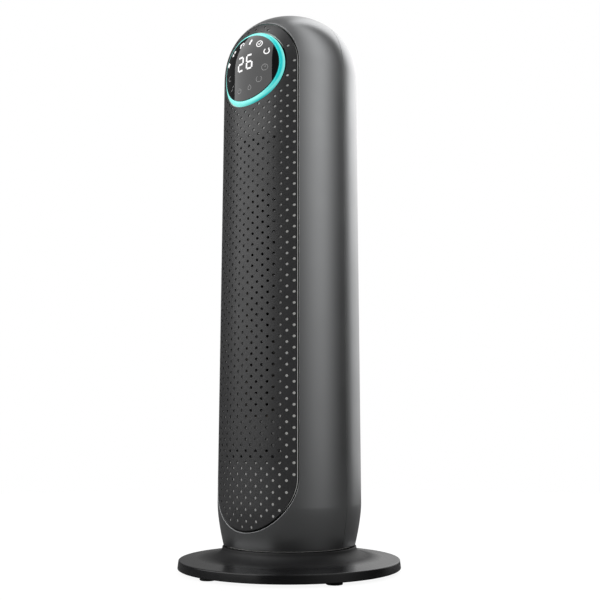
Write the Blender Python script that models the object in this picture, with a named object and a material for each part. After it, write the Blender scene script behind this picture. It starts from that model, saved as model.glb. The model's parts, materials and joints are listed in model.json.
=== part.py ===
"""Oscillating ceramic tower heater: a round weighted base that carries a domed cylindrical tower.

Metres, +Z up, front of the tower towards -Y, +X to the right of someone who faces it.
The origin is on the floor, on the swivel axis.
Run with: blender --background --python part.py
"""

import math

import bmesh
import bpy
from mathutils import Matrix, Vector

# ---------------------------------------------------------------- driving dimensions
GAP = 0.0003  # between neighbouring pieces that touch in the real heater

# base
FOOT_HEIGHT = 0.0035
RIM_HEIGHT = 0.003  # lower edge of the base cover above the floor
BASE_RADIUS = 0.1223
BASE_TOP_RIM = 0.0122
BASE_WALL = 0.0024
COLLAR_RADIUS = 0.074
COLLAR_TOP = 0.0259
LIP_RADIUS = 0.060
LIP_THICKNESS = 0.0025
PLATE_THICKNESS = 0.002
FOOT_CIRCLE = 0.1105
FOOT_RADIUS = 0.0085
FOOT_COUNT = 5
FIRST_FOOT_AZIMUTH = -10.4  # degrees from the front, towards +X
SCREW_CIRCLE = 0.100
BALLAST_INNER = 0.045
BALLAST_OUTER = 0.092
BALLAST_THICKNESS = 0.004
INLET_WIDTH = 0.011
INLET_HEIGHT = 0.0076
INLET_BORE = 0.0031

# swivel
POST_RADIUS = 0.016
POST_BORE = 0.010
POST_TOP = 0.038
GEAR_MODULE = 0.0015
FIXED_TEETH = 30
PINION_TEETH = 12
GEAR_LOW = 0.016
GEAR_HIGH = 0.022
BACKLASH = 0.0007
TURNTABLE_BOTTOM = 0.0275
TURNTABLE_TOP = 0.0305

# tower
BODY_RADIUS = 0.080
BODY_BOTTOM = 0.0277
TUCK_TOP = 0.072
TUCK_DEPTH = 0.0071
TUCK_POWER = 1.6
DOME_START = 0.564
DOME_HEIGHT = 0.0794
DOME_POWER = 2.3
SHELL_WALL = 0.0026
SEAM_Y = -0.0035
SEAM_GAP = 0.0004
SHELL_SCREWS = [(side * 0.062, height) for height in (0.130, 0.470) for side in (-1, 1)]
SCREW_SEAT = 0.004
SCREW_WELL = 0.0037
SCREW_HOLE = 0.0018

# front panel and display
PANEL_HALF_WIDTH = 0.0550
PANEL_LOW_CENTRE = 0.1015
PANEL_HIGH_CENTRE = 0.5618
PANEL_GAP = 0.0008
PANEL_INSET = 0.0003
PANEL_WALL = 0.0015
CARRIER_INSET = 0.0042
CARRIER_WALL = 0.0016
OUTLET_HALF_WIDTH = 0.0383
OUTLET_LOW = 0.117
OUTLET_HIGH = 0.479
DISPLAY_HEIGHT = 0.5592
RING_OUTER = 0.0452
RING_INNER = 0.0397
RING_PROUD = 0.0024
RING_SUNK = 0.0036
LENS_PROUD = 0.0018
LENS_WALL = 0.002

# air path
BLOWER_Y = 0.016
IMPELLER_RADIUS = 0.027
IMPELLER_HUB = 0.0028
IMPELLER_BLADES = 12
SHAFT_RADIUS = 0.0025
DUCT_LOW = 0.165
DUCT_HIGH = 0.429
DUCT_HALF_WIDTH = 0.0355
HEATER_FRONT = -0.037
HEATER_BACK = -0.024
FIN_PITCH = 0.0064
FIN_SHEET = 0.0005

# back of the tower
INTAKE_HALF_WIDTH = 0.044
INTAKE_LOW = 0.176
INTAKE_HIGH = 0.424
SLOT_PITCH = 0.0114
SLOT_HEIGHT = 0.0040
HANDLE_HALF_WIDTH = 0.036
HANDLE_LOW = 0.500
HANDLE_HIGH = 0.536
HANDLE_FLOOR_Y = 0.050
SWITCH_HEIGHT = 0.092
SWITCH_HALF_WIDTH = 0.0115
SWITCH_HALF_HEIGHT = 0.0155
SWITCH_FLANGE_Y = 0.0818
ROCKER_PIVOT_Y = 0.0745
ROCKER_REACH = 0.0118
ROCKER_FACE = 0.0068
ROCKER_HALF_WIDTH = 0.0077
ROCKER_TILT = 8.0  # degrees, to either side of level

# power board and tip-over switch
BOARD_FRONT_Y = 0.0560
BOARD_HALF_WIDTH = 0.030
PENDULUM_X = -0.040
PENDULUM_Y = -0.024
PENDULUM_PIN = 0.058

ROUND = 40  # segments of the tower
BASE_ROUND = 48  # segments of the base
BACK_ROUND = 24  # segments of the intake grille and its filter
SMALL = 16  # segments of small round pieces


# ---------------------------------------------------------------- scene and materials
def clear_scene():
    for old in list(bpy.data.objects):
        bpy.data.objects.remove(old, do_unlink=True)


def material(name, colour, roughness, metallic=0.0):
    made = bpy.data.materials.new(name)
    made.use_nodes = True
    shader = made.node_tree.nodes["Principled BSDF"]
    shader.inputs["Base Color"].default_value = (*colour, 1.0)
    shader.inputs["Roughness"].default_value = roughness
    shader.inputs["Metallic"].default_value = metallic
    made.diffuse_color = (*colour, 1.0)
    return made


# ---------------------------------------------------------------- mesh tools
def finish_mesh(name, bm, smooth_angle=math.radians(35)):
    bmesh.ops.recalc_face_normals(bm, faces=bm.faces)
    mesh = bpy.data.meshes.new(name)
    bm.to_mesh(mesh)
    bm.free()
    mesh.shade_smooth()
    mesh.set_sharp_from_angle(angle=smooth_angle)
    return mesh


def node(name, bm, finish, origin=(0.0, 0.0, 0.0), parent=None):
    """A named sub-part. Its mesh is given in world space and its origin is put at origin."""
    bm.transform(Matrix.Translation(-Vector(origin)))
    made = bpy.data.objects.new(name, finish_mesh(name, bm))
    made.data.materials.append(finish)
    bpy.context.collection.objects.link(made)
    made.parent = parent
    base = parent.location if parent else Vector((0.0, 0.0, 0.0))
    made.location = Vector(origin) - base
    return made


def axis_empty(name, origin, parent=None):
    made = bpy.data.objects.new(name, None)
    made.empty_display_size = 0.02
    bpy.context.collection.objects.link(made)
    made.parent = parent
    base = parent.location if parent else Vector((0.0, 0.0, 0.0))
    made.location = Vector(origin) - base
    return made


def combined(body, tool, operation):
    """body with the closed mesh tool cut from it, joined to it or kept in common with it."""
    objects = []
    for label, bm in (("body", body), ("tool", tool)):
        made = bpy.data.objects.new(label, finish_mesh(label, bm))
        bpy.context.collection.objects.link(made)
        objects.append(made)
    boolean = objects[0].modifiers.new("boolean", "BOOLEAN")
    boolean.operation = operation
    boolean.solver = "EXACT"
    boolean.object = objects[1]
    depsgraph = bpy.context.evaluated_depsgraph_get()
    result = bmesh.new()
    result.from_object(objects[0], depsgraph)
    for used in objects:
        mesh = used.data
        bpy.data.objects.remove(used, do_unlink=True)
        bpy.data.meshes.remove(mesh)
    bmesh.ops.remove_doubles(result, verts=result.verts, dist=1e-7)
    return result


def add_body(group, bm):
    """Adds the separate body bm to the mesh group, for a cutter or a union with several bodies."""
    mesh = bpy.data.meshes.new("part")
    bm.to_mesh(mesh)
    bm.free()
    group.from_mesh(mesh)
    bpy.data.meshes.remove(mesh)


def cut(body, *tools):
    for tool in tools:
        body = combined(body, tool, "DIFFERENCE")
    return body


def joined(body, *tools):
    for tool in tools:
        body = combined(body, tool, "UNION")
    return body


def common(body, *tools):
    for tool in tools:
        body = combined(body, tool, "INTERSECT")
    return body


def turned(profile, segments=ROUND, centre=(0.0, 0.0)):
    """A closed (radius, height) outline turned about a vertical axis."""
    bm = bmesh.new()
    rings = []
    for radius, height in profile:
        count = 1 if radius < 1e-9 else segments
        ring = []
        for step in range(count):
            angle = 2 * math.pi * step / segments
            x = centre[0] + radius * math.cos(angle)
            y = centre[1] + radius * math.sin(angle)
            ring.append(bm.verts.new((x, y, height)))
        rings.append(ring)
    for lower, upper in zip(rings, rings[1:] + rings[:1]):
        if len(lower) == 1 and len(upper) == 1:
            continue
        for step in range(segments):
            after = (step + 1) % segments
            corners = []
            for ring, places in ((lower, (step, after)), (upper, (after, step))):
                corners += [ring[0]] if len(ring) == 1 else [ring[place] for place in places]
            bm.faces.new(corners)
    return bm


def tube(inner, outer, low, high, segments=ROUND, centre=(0.0, 0.0)):
    return turned([(outer, low), (outer, high), (inner, high), (inner, low)], segments, centre)


def disc(radius, low, high, segments=ROUND, centre=(0.0, 0.0)):
    return turned([(0.0, low), (radius, low), (radius, high), (0.0, high)], segments, centre)


def prism(outline, low, high, axis="Z"):
    """An outline extruded along an axis: (x, y) along Z, (x, z) along Y or (y, z) along X."""
    bm = bmesh.new()

    def place(a, b, c):
        return {"Z": (a, b, c), "Y": (a, c, b), "X": (c, a, b)}[axis]

    ends = [[bm.verts.new(place(a, b, level)) for a, b in outline] for level in (low, high)]
    count = len(outline)
    bm.faces.new(ends[0][::-1])
    bm.faces.new(ends[1])
    for step in range(count):
        after = (step + 1) % count
        bm.faces.new((ends[0][step], ends[0][after], ends[1][after], ends[1][step]))
    bmesh.ops.triangulate(bm, faces=[face for face in bm.faces if len(face.verts) > 4])
    return bm


def box(low, high):
    outline = [(low[0], low[1]), (high[0], low[1]), (high[0], high[1]), (low[0], high[1])]
    return prism(outline, low[2], high[2])


def rod(axis, centre, radius, low, high, segments=SMALL):
    """A cylinder along X, Y or Z. centre holds its two other coordinates, in X, Y, Z order."""
    outline = []
    for step in range(segments):
        angle = 2 * math.pi * step / segments
        outline.append((centre[0] + radius * math.cos(angle), centre[1] + radius * math.sin(angle)))
    return prism(outline, low, high, axis)


def rounded_box_outline(half_width, low, high, radius, steps=5):
    """Rectangle with round corners, in (x, z)."""
    outline = []
    corners = (
        (half_width - radius, low + radius, -90),
        (half_width - radius, high - radius, 0),
        (-half_width + radius, high - radius, 90),
        (-half_width + radius, low + radius, 180),
    )
    for x, z, start in corners:
        for step in range(steps + 1):
            angle = math.radians(start + 90 * step / steps)
            outline.append((x + radius * math.cos(angle), z + radius * math.sin(angle)))
    return outline


def stadium(half_width, low_centre, high_centre, steps=20):
    """Upright slot shape with round ends, in (x, z)."""
    outline = []
    for centre, start in ((low_centre, 180), (high_centre, 0)):
        for step in range(steps + 1):
            angle = math.radians(start + 180 * step / steps)
            outline.append((half_width * math.cos(angle), centre + half_width * math.sin(angle)))
    return outline


# ---------------------------------------------------------------- the tower's surface
def skin_profile(inset, dome_steps=8, tuck_steps=3):
    """(radius, height) points of the tower's surface, moved inwards by inset, bottom to top."""
    points = []
    for step in range(tuck_steps):
        height = BODY_BOTTOM + (TUCK_TOP - BODY_BOTTOM) * step / tuck_steps
        share = (TUCK_TOP - height) / (TUCK_TOP - BODY_BOTTOM)
        points.append((BODY_RADIUS - inset - TUCK_DEPTH * share**TUCK_POWER, height))
    points.append((BODY_RADIUS - inset, TUCK_TOP))
    for step in range(dome_steps + 1):
        angle = 0.5 * math.pi * step / dome_steps
        across = max(math.cos(angle), 0.0) ** (2 / DOME_POWER)
        up = math.sin(angle) ** (2 / DOME_POWER)
        radius = 0.0 if step == dome_steps else (BODY_RADIUS - inset) * across
        points.append((radius, DOME_START + (DOME_HEIGHT - inset) * up))
    return points


def skin(inset, wall, segments=ROUND):
    """A wall of the tower's own shape."""
    return turned(skin_profile(inset) + skin_profile(inset + wall)[::-1], segments)


def filled_skin(inset):
    profile = skin_profile(inset)
    return turned([(0.0, BODY_BOTTOM)] + profile)


def front_round(radius, low, high, segments=32):
    """A cylinder along Y on the display's centre."""
    return rod("Y", (0.0, DISPLAY_HEIGHT), radius, low, high, segments)


# ---------------------------------------------------------------- base
def base_outline():
    """Section of the cover, outer side first, then the inner side back to the rim."""
    wall = BASE_WALL
    outer = [
        (BASE_RADIUS, RIM_HEIGHT),
        (BASE_RADIUS - 0.0008, BASE_TOP_RIM - 0.0008),
        (BASE_RADIUS - 0.0016, BASE_TOP_RIM),
        (BASE_RADIUS - 0.0035, BASE_TOP_RIM + 0.0004),
        (0.100, 0.0143),
        (0.088, 0.0155),
        (0.0815, 0.0168),
        (0.0774, 0.0189),
        (0.0751, 0.0217),
        (COLLAR_RADIUS, COLLAR_TOP - 0.0010),
        (COLLAR_RADIUS - 0.0008, COLLAR_TOP),
    ]
    lip = [(LIP_RADIUS, COLLAR_TOP), (LIP_RADIUS, COLLAR_TOP - LIP_THICKNESS)]
    inner = [
        (COLLAR_RADIUS - wall, COLLAR_TOP - LIP_THICKNESS),
        (COLLAR_RADIUS - wall + 0.0008, 0.0195),
        (0.0775, 0.0150),
        (0.088, 0.0131),
        (BASE_RADIUS - wall - 0.0020, 0.0094),
        (BASE_RADIUS - wall, RIM_HEIGHT),
    ]
    return outer + lip + inner


def around(radius, azimuth):
    """(x, y) at an azimuth in degrees from the front, towards +X."""
    turn = math.radians(azimuth)
    return radius * math.sin(turn), -radius * math.cos(turn)


def build_base(finishes, fixed):
    plate_low = RIM_HEIGHT + 0.0008
    plate_high = plate_low + PLATE_THICKNESS
    floor = plate_high + GAP
    screw_azimuths = [FIRST_FOOT_AZIMUTH + 36 + 120 * step for step in range(3)]
    notch_half = 0.5 * INLET_WIDTH + GAP

    cover = turned(base_outline(), BASE_ROUND)
    plate = disc(BASE_RADIUS - BASE_WALL - 0.0018, plate_low, plate_high, BASE_ROUND)
    for azimuth in screw_azimuths:
        place = around(SCREW_CIRCLE, azimuth)
        cover = joined(cover, rod("Z", place, 0.004, floor, 0.0130, 12))
        cover = cut(cover, rod("Z", place, 0.0018, 0.0, 0.0103, 12))
        plate = cut(plate, rod("Z", place, 0.0019, 0.0, 0.010, 12))
    inlet_low = FOOT_HEIGHT + GAP
    inlet_top = inlet_low + INLET_HEIGHT
    notch = box((-notch_half, 0.1105, 0.0), (notch_half, 0.130, inlet_top + GAP))
    cover = cut(cover, notch)
    plate = cut(plate, box((-notch_half, 0.1105, 0.0), (notch_half, 0.130, 0.010)))
    node("base_cover", cover, finishes["base"], parent=fixed)
    node("base_plate", plate, finishes["plate"], parent=fixed)

    middle = 0.5 * (inlet_low + inlet_top)
    bush = box((-0.5 * INLET_WIDTH, 0.1110, inlet_low), (0.5 * INLET_WIDTH, BASE_RADIUS - 0.0004, inlet_top))
    bush = cut(bush, rod("Y", (0.0, middle), INLET_BORE, 0.10, 0.13, 20))
    node("cord_inlet_bush", bush, finishes["rubber"], parent=fixed)

    for number in range(FOOT_COUNT):
        place = around(FOOT_CIRCLE, FIRST_FOOT_AZIMUTH + 360 / FOOT_COUNT * number)
        profile = [(0.0, 0.0), (FOOT_RADIUS - 0.0006, 0.0), (FOOT_RADIUS, 0.0006)]
        profile += [(FOOT_RADIUS, FOOT_HEIGHT), (0.0, FOOT_HEIGHT)]
        foot = turned(profile, SMALL, place)
        node(f"base_foot_{number + 1}", foot, finishes["rubber"], parent=fixed)

    for number, azimuth in enumerate(screw_azimuths):
        place = around(SCREW_CIRCLE, azimuth)
        head = plate_low - GAP
        profile = [(0.0, head - 0.0015), (0.003, head - 0.0015), (0.003, head)]
        profile += [(0.0015, head), (0.0015, 0.0095), (0.0, 0.0100)]
        node(f"base_screw_{number + 1}", turned(profile, 12, place), finishes["steel"], parent=fixed)

    ballast = tube(BALLAST_INNER, BALLAST_OUTER, floor, floor + BALLAST_THICKNESS, 36)
    node("ballast_weight", ballast, finishes["iron"], parent=fixed)

    post = [(POST_BORE, floor), (0.032, floor), (0.032, floor + 0.0025), (POST_RADIUS, floor + 0.0025)]
    post += [(POST_RADIUS, POST_TOP), (POST_BORE, POST_TOP)]
    node("pivot_post", turned(post, 24), finishes["black"], parent=fixed)

    slide = tube(0.062, 0.069, COLLAR_TOP + GAP, TURNTABLE_BOTTOM - GAP, 40)
    node("slide_ring", slide, finishes["white"], parent=fixed)
    keeper = tube(POST_RADIUS + GAP, 0.024, TURNTABLE_TOP + GAP, TURNTABLE_TOP + 0.0018, 24)
    node("pivot_keeper_ring", keeper, finishes["steel"], parent=fixed)


# ---------------------------------------------------------------- gears
def gear_outline(teeth, centre, first_tooth):
    """Trapezoid teeth on a pitch circle. first_tooth is a tooth's direction in radians."""
    pitch_radius = 0.5 * GEAR_MODULE * teeth
    half_pitch = 0.25 * math.pi * GEAR_MODULE - 0.5 * BACKLASH
    levels = (
        (pitch_radius - 1.25 * GEAR_MODULE, half_pitch + 0.0004),
        (pitch_radius + 0.85 * GEAR_MODULE, half_pitch - 0.00045),
    )
    outline = []
    for tooth in range(teeth):
        middle = first_tooth + 2 * math.pi * tooth / teeth
        for (radius, half), side in ((levels[0], -1), (levels[1], -1), (levels[1], 1), (levels[0], 1)):
            angle = middle + side * half / radius
            outline.append((centre[0] + radius * math.cos(angle), centre[1] + radius * math.sin(angle)))
    return outline


def pinion_centre():
    return (0.0, 0.5 * GEAR_MODULE * (FIXED_TEETH + PINION_TEETH))


def build_swivel_drive(finishes, fixed, tower, pinion_axis):
    towards_pinion = 0.5 * math.pi
    sun = prism(gear_outline(FIXED_TEETH, (0.0, 0.0), towards_pinion), GEAR_LOW, GEAR_HIGH)
    sun = cut(sun, rod("Z", (0.0, 0.0), POST_RADIUS + GAP, 0.0, 0.05, 24))
    node("fixed_gear", sun, finishes["white"], parent=fixed)

    x, y = pinion_centre()
    half_tooth = math.pi / PINION_TEETH
    pinion = prism(gear_outline(PINION_TEETH, (x, y), half_tooth - towards_pinion), GEAR_LOW, GEAR_HIGH)
    pinion = joined(pinion, rod("Z", (x, y), 0.0030, GEAR_LOW + 0.002, TURNTABLE_TOP + 0.0080, 16))
    node("swivel_pinion", pinion, finishes["white"], origin=(x, y, 0.0), parent=pinion_axis)

    low = TURNTABLE_TOP + 0.0025
    motor = disc(0.020, low, low + 0.019, 32, (0.0, 0.042))
    motor = cut(motor, rod("Z", (x, y), 0.0034, 0.0, TURNTABLE_TOP + 0.0090, 16))
    node("swivel_motor", motor, finishes["steel"], parent=tower)

    table = disc(0.0700, TURNTABLE_BOTTOM, TURNTABLE_TOP)
    table = cut(
        table,
        rod("Z", (0.0, 0.0), POST_RADIUS + 0.0004, 0.0, 0.05, 24),
        rod("Z", (x, y), 0.0036, 0.0, 0.05, 16),
    )
    node("turntable_plate", table, finishes["plate"], parent=tower)


# ---------------------------------------------------------------- tower housing
def build_shells(finishes, tower):
    front = cut(skin(0.0, SHELL_WALL), box((-0.1, SEAM_Y - 0.5 * SEAM_GAP, 0.0), (0.1, 0.1, 0.7)))
    opening = stadium(PANEL_HALF_WIDTH + PANEL_GAP, PANEL_LOW_CENTRE, PANEL_HIGH_CENTRE)
    front = cut(front, prism(opening, -0.1, -0.02, "Y"))
    rear = cut(skin(0.0, SHELL_WALL), box((-0.1, -0.1, 0.0), (0.1, SEAM_Y + 0.5 * SEAM_GAP, 0.7)))

    intake = rounded_box_outline(INTAKE_HALF_WIDTH, INTAKE_LOW, INTAKE_HIGH, 0.012)
    handle = rounded_box_outline(HANDLE_HALF_WIDTH, HANDLE_LOW, HANDLE_HIGH, 0.012)
    switch = rounded_box_outline(
        SWITCH_HALF_WIDTH - 0.0012,
        SWITCH_HEIGHT - SWITCH_HALF_HEIGHT + 0.0012,
        SWITCH_HEIGHT + SWITCH_HALF_HEIGHT - 0.0012,
        0.0015,
        2,
    )
    for outline in (intake, handle, switch):
        rear = cut(rear, prism(outline, 0.02, 0.1, "Y"))

    for x, z in SHELL_SCREWS:
        wall_y = math.sqrt((BODY_RADIUS - 0.5 * SHELL_WALL) ** 2 - (abs(x) - 0.0035) ** 2)
        front = joined(front, rod("Y", (x, z), 0.0042, -wall_y, SEAM_Y - 0.5 * SEAM_GAP, 12))
        front = cut(front, rod("Y", (x, z), SCREW_HOLE, SEAM_Y - 0.016, 0.0, 12))
        rear = joined(rear, rod("Y", (x, z), 0.0052, SEAM_Y + 0.5 * SEAM_GAP, wall_y, 12))
        rear = cut(
            rear,
            rod("Y", (x, z), SCREW_HOLE, -0.02, 0.02, 12),
            rod("Y", (x, z), SCREW_WELL, SCREW_SEAT, 0.09, 12),
        )
    node("front_shell", front, finishes["gunmetal"], parent=tower)
    node("rear_shell", rear, finishes["gunmetal"], parent=tower)

    for number, (x, z) in enumerate(SHELL_SCREWS):
        low = SEAM_Y - 0.014
        screw = rod("Y", (x, z), 0.0015, low, SCREW_SEAT + GAP + 0.0005, 12)
        screw = joined(screw, rod("Y", (x, z), 0.0031, SCREW_SEAT + GAP, SCREW_SEAT + 0.0025, 12))
        node(f"shell_screw_{number + 1}", screw, finishes["steel"], parent=tower)


def build_front_panel(finishes, tower):
    panel = common(
        skin(PANEL_INSET, PANEL_WALL),
        prism(stadium(PANEL_HALF_WIDTH, PANEL_LOW_CENTRE, PANEL_HIGH_CENTRE), -0.1, -0.02, "Y"),
    )
    panel = cut(panel, front_round(RING_OUTER + GAP, -0.1, -0.02))
    node("front_grille", panel, finishes["grille"], parent=tower)

    carrier = common(
        skin(CARRIER_INSET, CARRIER_WALL),
        prism(stadium(PANEL_HALF_WIDTH + 0.002, PANEL_LOW_CENTRE, PANEL_HIGH_CENTRE), -0.1, -0.02, "Y"),
    )
    window = box((-OUTLET_HALF_WIDTH, -0.1, OUTLET_LOW), (OUTLET_HALF_WIDTH, -0.02, OUTLET_HIGH))
    carrier = cut(carrier, window, front_round(RING_OUTER - 0.001, -0.1, -0.02))
    node("grille_carrier", carrier, finishes["white"], parent=tower)


def build_display(finishes, tower):
    lens = common(skin(-LENS_PROUD, LENS_WALL), front_round(RING_INNER - GAP, -0.1, -0.02))
    node("display_lens", lens, finishes["lens"], parent=tower)

    ring = common(skin(-RING_PROUD, RING_PROUD + RING_SUNK), front_round(RING_OUTER, -0.1, -0.02))
    ring = cut(ring, front_round(RING_INNER, -0.1, -0.02))
    node("light_ring", ring, finishes["cyan"], parent=tower)

    depth = -0.050
    housing = common(filled_skin(LENS_WALL + GAP - LENS_PROUD), front_round(RING_INNER - 0.0015, -0.1, depth))
    housing = cut(housing, front_round(RING_INNER - 0.0035, -0.1, depth - 0.002))
    node("display_housing", housing, finishes["black"], parent=tower)
    board = front_round(RING_INNER - 0.0045, depth - 0.0070, depth - 0.0054)
    node("display_board", board, finishes["board"], parent=tower)


# ---------------------------------------------------------------- air path
def tapered_duct():
    """Open frame that widens upwards and downwards from the heater to the front panel."""
    wall = 0.002
    levels = (
        (-0.0665, DUCT_HALF_WIDTH, DUCT_LOW - 0.030, DUCT_HIGH + 0.038),
        (HEATER_FRONT - 0.0012, DUCT_HALF_WIDTH, DUCT_LOW, DUCT_HIGH),
    )
    bm = bmesh.new()
    loops = []
    for y, half_width, low, high in levels:
        for grow in (0.0, wall):
            corners = (
                (-half_width - grow, low - grow),
                (half_width + grow, low - grow),
                (half_width + grow, high + grow),
                (-half_width - grow, high + grow),
            )
            loops.append([bm.verts.new((x, y, z)) for x, z in corners])
    front_inner, front_outer, back_inner, back_outer = loops
    pairs = (
        (front_inner, front_outer),
        (front_outer, back_outer),
        (back_outer, back_inner),
        (back_inner, front_inner),
    )
    for first, second in pairs:
        for step in range(4):
            after = (step + 1) % 4
            bm.faces.new((first[step], first[after], second[after], second[step]))
    return bm


def corrugated_fin(left, right, low, high, front, back):
    """Thin strip that zigzags upwards between two upright bars."""
    count = int((high - low) / FIN_PITCH)
    rise = (high - low) / count
    half = 0.5 * FIN_SHEET * math.hypot(right - left, rise) / rise
    bm = bmesh.new()
    rows = []
    for step in range(count + 1):
        x = left + half if step % 2 == 0 else right - half
        z = low + rise * step
        corners = ((x - half, front), (x + half, front), (x + half, back), (x - half, back))
        rows.append([bm.verts.new((corner, y, z)) for corner, y in corners])
    bm.faces.new(rows[0])
    bm.faces.new(rows[-1])
    for lower, upper in zip(rows, rows[1:]):
        for side in range(4):
            after = (side + 1) % 4
            bm.faces.new((lower[side], lower[after], upper[after], upper[side]))
    return bm


def build_heater(finishes, tower):
    node("outlet_duct", tapered_duct(), finishes["black"], parent=tower)

    half = 0.0340
    low = DUCT_LOW + 0.003
    high = DUCT_HIGH - 0.003
    back = HEATER_BACK + 0.002
    for name, bottom, top in (
        ("heater_end_lower", low - 0.008, low - GAP),
        ("heater_end_upper", high + GAP, high + 0.008),
    ):
        end = box((-half, HEATER_FRONT, bottom), (half, back, top))
        node(name, end, finishes["ceramic"], parent=tower)
    bars = (-0.0325, 0.0, 0.0325)
    bar_half = 0.0013
    for number, x in enumerate(bars):
        bar = box((x - bar_half, HEATER_FRONT, low), (x + bar_half, HEATER_BACK, high))
        node(f"ptc_bar_{number + 1}", bar, finishes["ceramic"], parent=tower)
    for name, left, right in (("fins_left", bars[0], bars[1]), ("fins_right", bars[1], bars[2])):
        sides = (left + bar_half + GAP, right - bar_half - GAP)
        depth = (HEATER_FRONT + 0.0006, HEATER_BACK - 0.0006)
        fins = corrugated_fin(*sides, low + GAP, high - GAP, *depth)
        node(name, fins, finishes["aluminium"], parent=tower)
    cutout = disc(0.0075, high + 0.0083, high + 0.0150, 16, (0.018, -0.0305))
    node("thermal_cutout", cutout, finishes["steel"], parent=tower)


def blower_wall():
    """Spiral casing wall that ends at the heater's right edge, in (x, y)."""
    wall = 0.0016
    inner, outer = [], []
    steps = 14
    for step in range(steps + 1):
        share = step / steps
        angle = math.radians(100 - 135 * share)
        radius = 0.0295 + 0.0105 * share
        for line, extra in ((inner, 0.0), (outer, wall)):
            x = (radius + extra) * math.cos(angle)
            line.append((x, BLOWER_Y + (radius + extra) * math.sin(angle)))
    inner.append((0.0350, -0.0195))
    outer.append((0.0350 + wall, -0.0195))
    return inner + outer[::-1]


def build_blower(finishes, tower, impeller_axis):
    low = DUCT_LOW + 0.001
    high = DUCT_HIGH - 0.001
    node("blower_volute", prism(blower_wall(), low, high), finishes["black"], parent=tower)
    tongue = [(-0.0350, -0.0195), (-0.0334, -0.0195), (-0.0304, -0.0020), (-0.0330, 0.0090), (-0.0345, 0.0090)]
    tongue.append((-0.0322, -0.0020))
    node("blower_tongue", prism(tongue, low, high), finishes["black"], parent=tower)

    centre = (0.0, BLOWER_Y)
    for name, bottom, top in (
        ("blower_floor", low - 0.0065, low - 0.0040),
        ("blower_roof", high + 0.0040, high + 0.0065),
    ):
        outline = [(-0.037, -0.019), (0.037, -0.019), (0.042, 0.016), (0.030, 0.050), (-0.020, 0.050)]
        outline.append((-0.037, 0.030))
        sheet = prism(outline, bottom, top)
        sheet = cut(sheet, rod("Z", centre, SHAFT_RADIUS + 0.0009, bottom - 0.01, top + 0.01, 16))
        node(name, sheet, finishes["black"], parent=tower)

    # open drum: end discs and a middle disc joined by thin curved blades
    drum_low = low + 0.002
    drum_high = high - 0.002
    sheet_half = 0.0008
    drum = bmesh.new()
    for number in range(IMPELLER_BLADES):
        turn = 2 * math.pi * number / IMPELLER_BLADES
        outline = []
        for radius, lag, side in ((0.0205, 0.0, -1), (0.0262, 0.20, -1), (0.0262, 0.20, 1), (0.0205, 0.0, 1)):
            angle = turn + lag + side * 0.0005 / radius
            outline.append((radius * math.cos(angle), BLOWER_Y + radius * math.sin(angle)))
        add_body(drum, prism(outline, drum_low + 0.0005, drum_high - 0.0005))
    middle = 0.5 * (drum_low + drum_high)
    for bottom in (drum_low, middle - sheet_half, drum_high - 2 * sheet_half):
        ring = tube(IMPELLER_HUB, IMPELLER_RADIUS, bottom, bottom + 2 * sheet_half, 20, centre)
        drum = joined(drum, ring)
    node("impeller_drum", drum, finishes["black"], origin=(0.0, BLOWER_Y, 0.0), parent=impeller_axis)
    shaft = disc(SHAFT_RADIUS, low - 0.016, high + 0.014, 16, centre)
    node("impeller_shaft", shaft, finishes["steel"], origin=(0.0, BLOWER_Y, 0.0), parent=impeller_axis)

    top = low - 0.0068
    motor = [(0.0, top - 0.038), (0.022, top - 0.038), (0.024, top - 0.035), (0.024, top), (0.0034, top)]
    motor += [(0.0034, top - 0.012), (0.0, top - 0.012)]
    node("blower_motor", turned(motor, 24, centre), finishes["steel"], parent=tower)
    bottom = high + 0.0068
    bush = tube(SHAFT_RADIUS + GAP, 0.007, bottom, bottom + 0.006, 20, centre)
    node("shaft_bush", bush, finishes["brass"], parent=tower)


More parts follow.
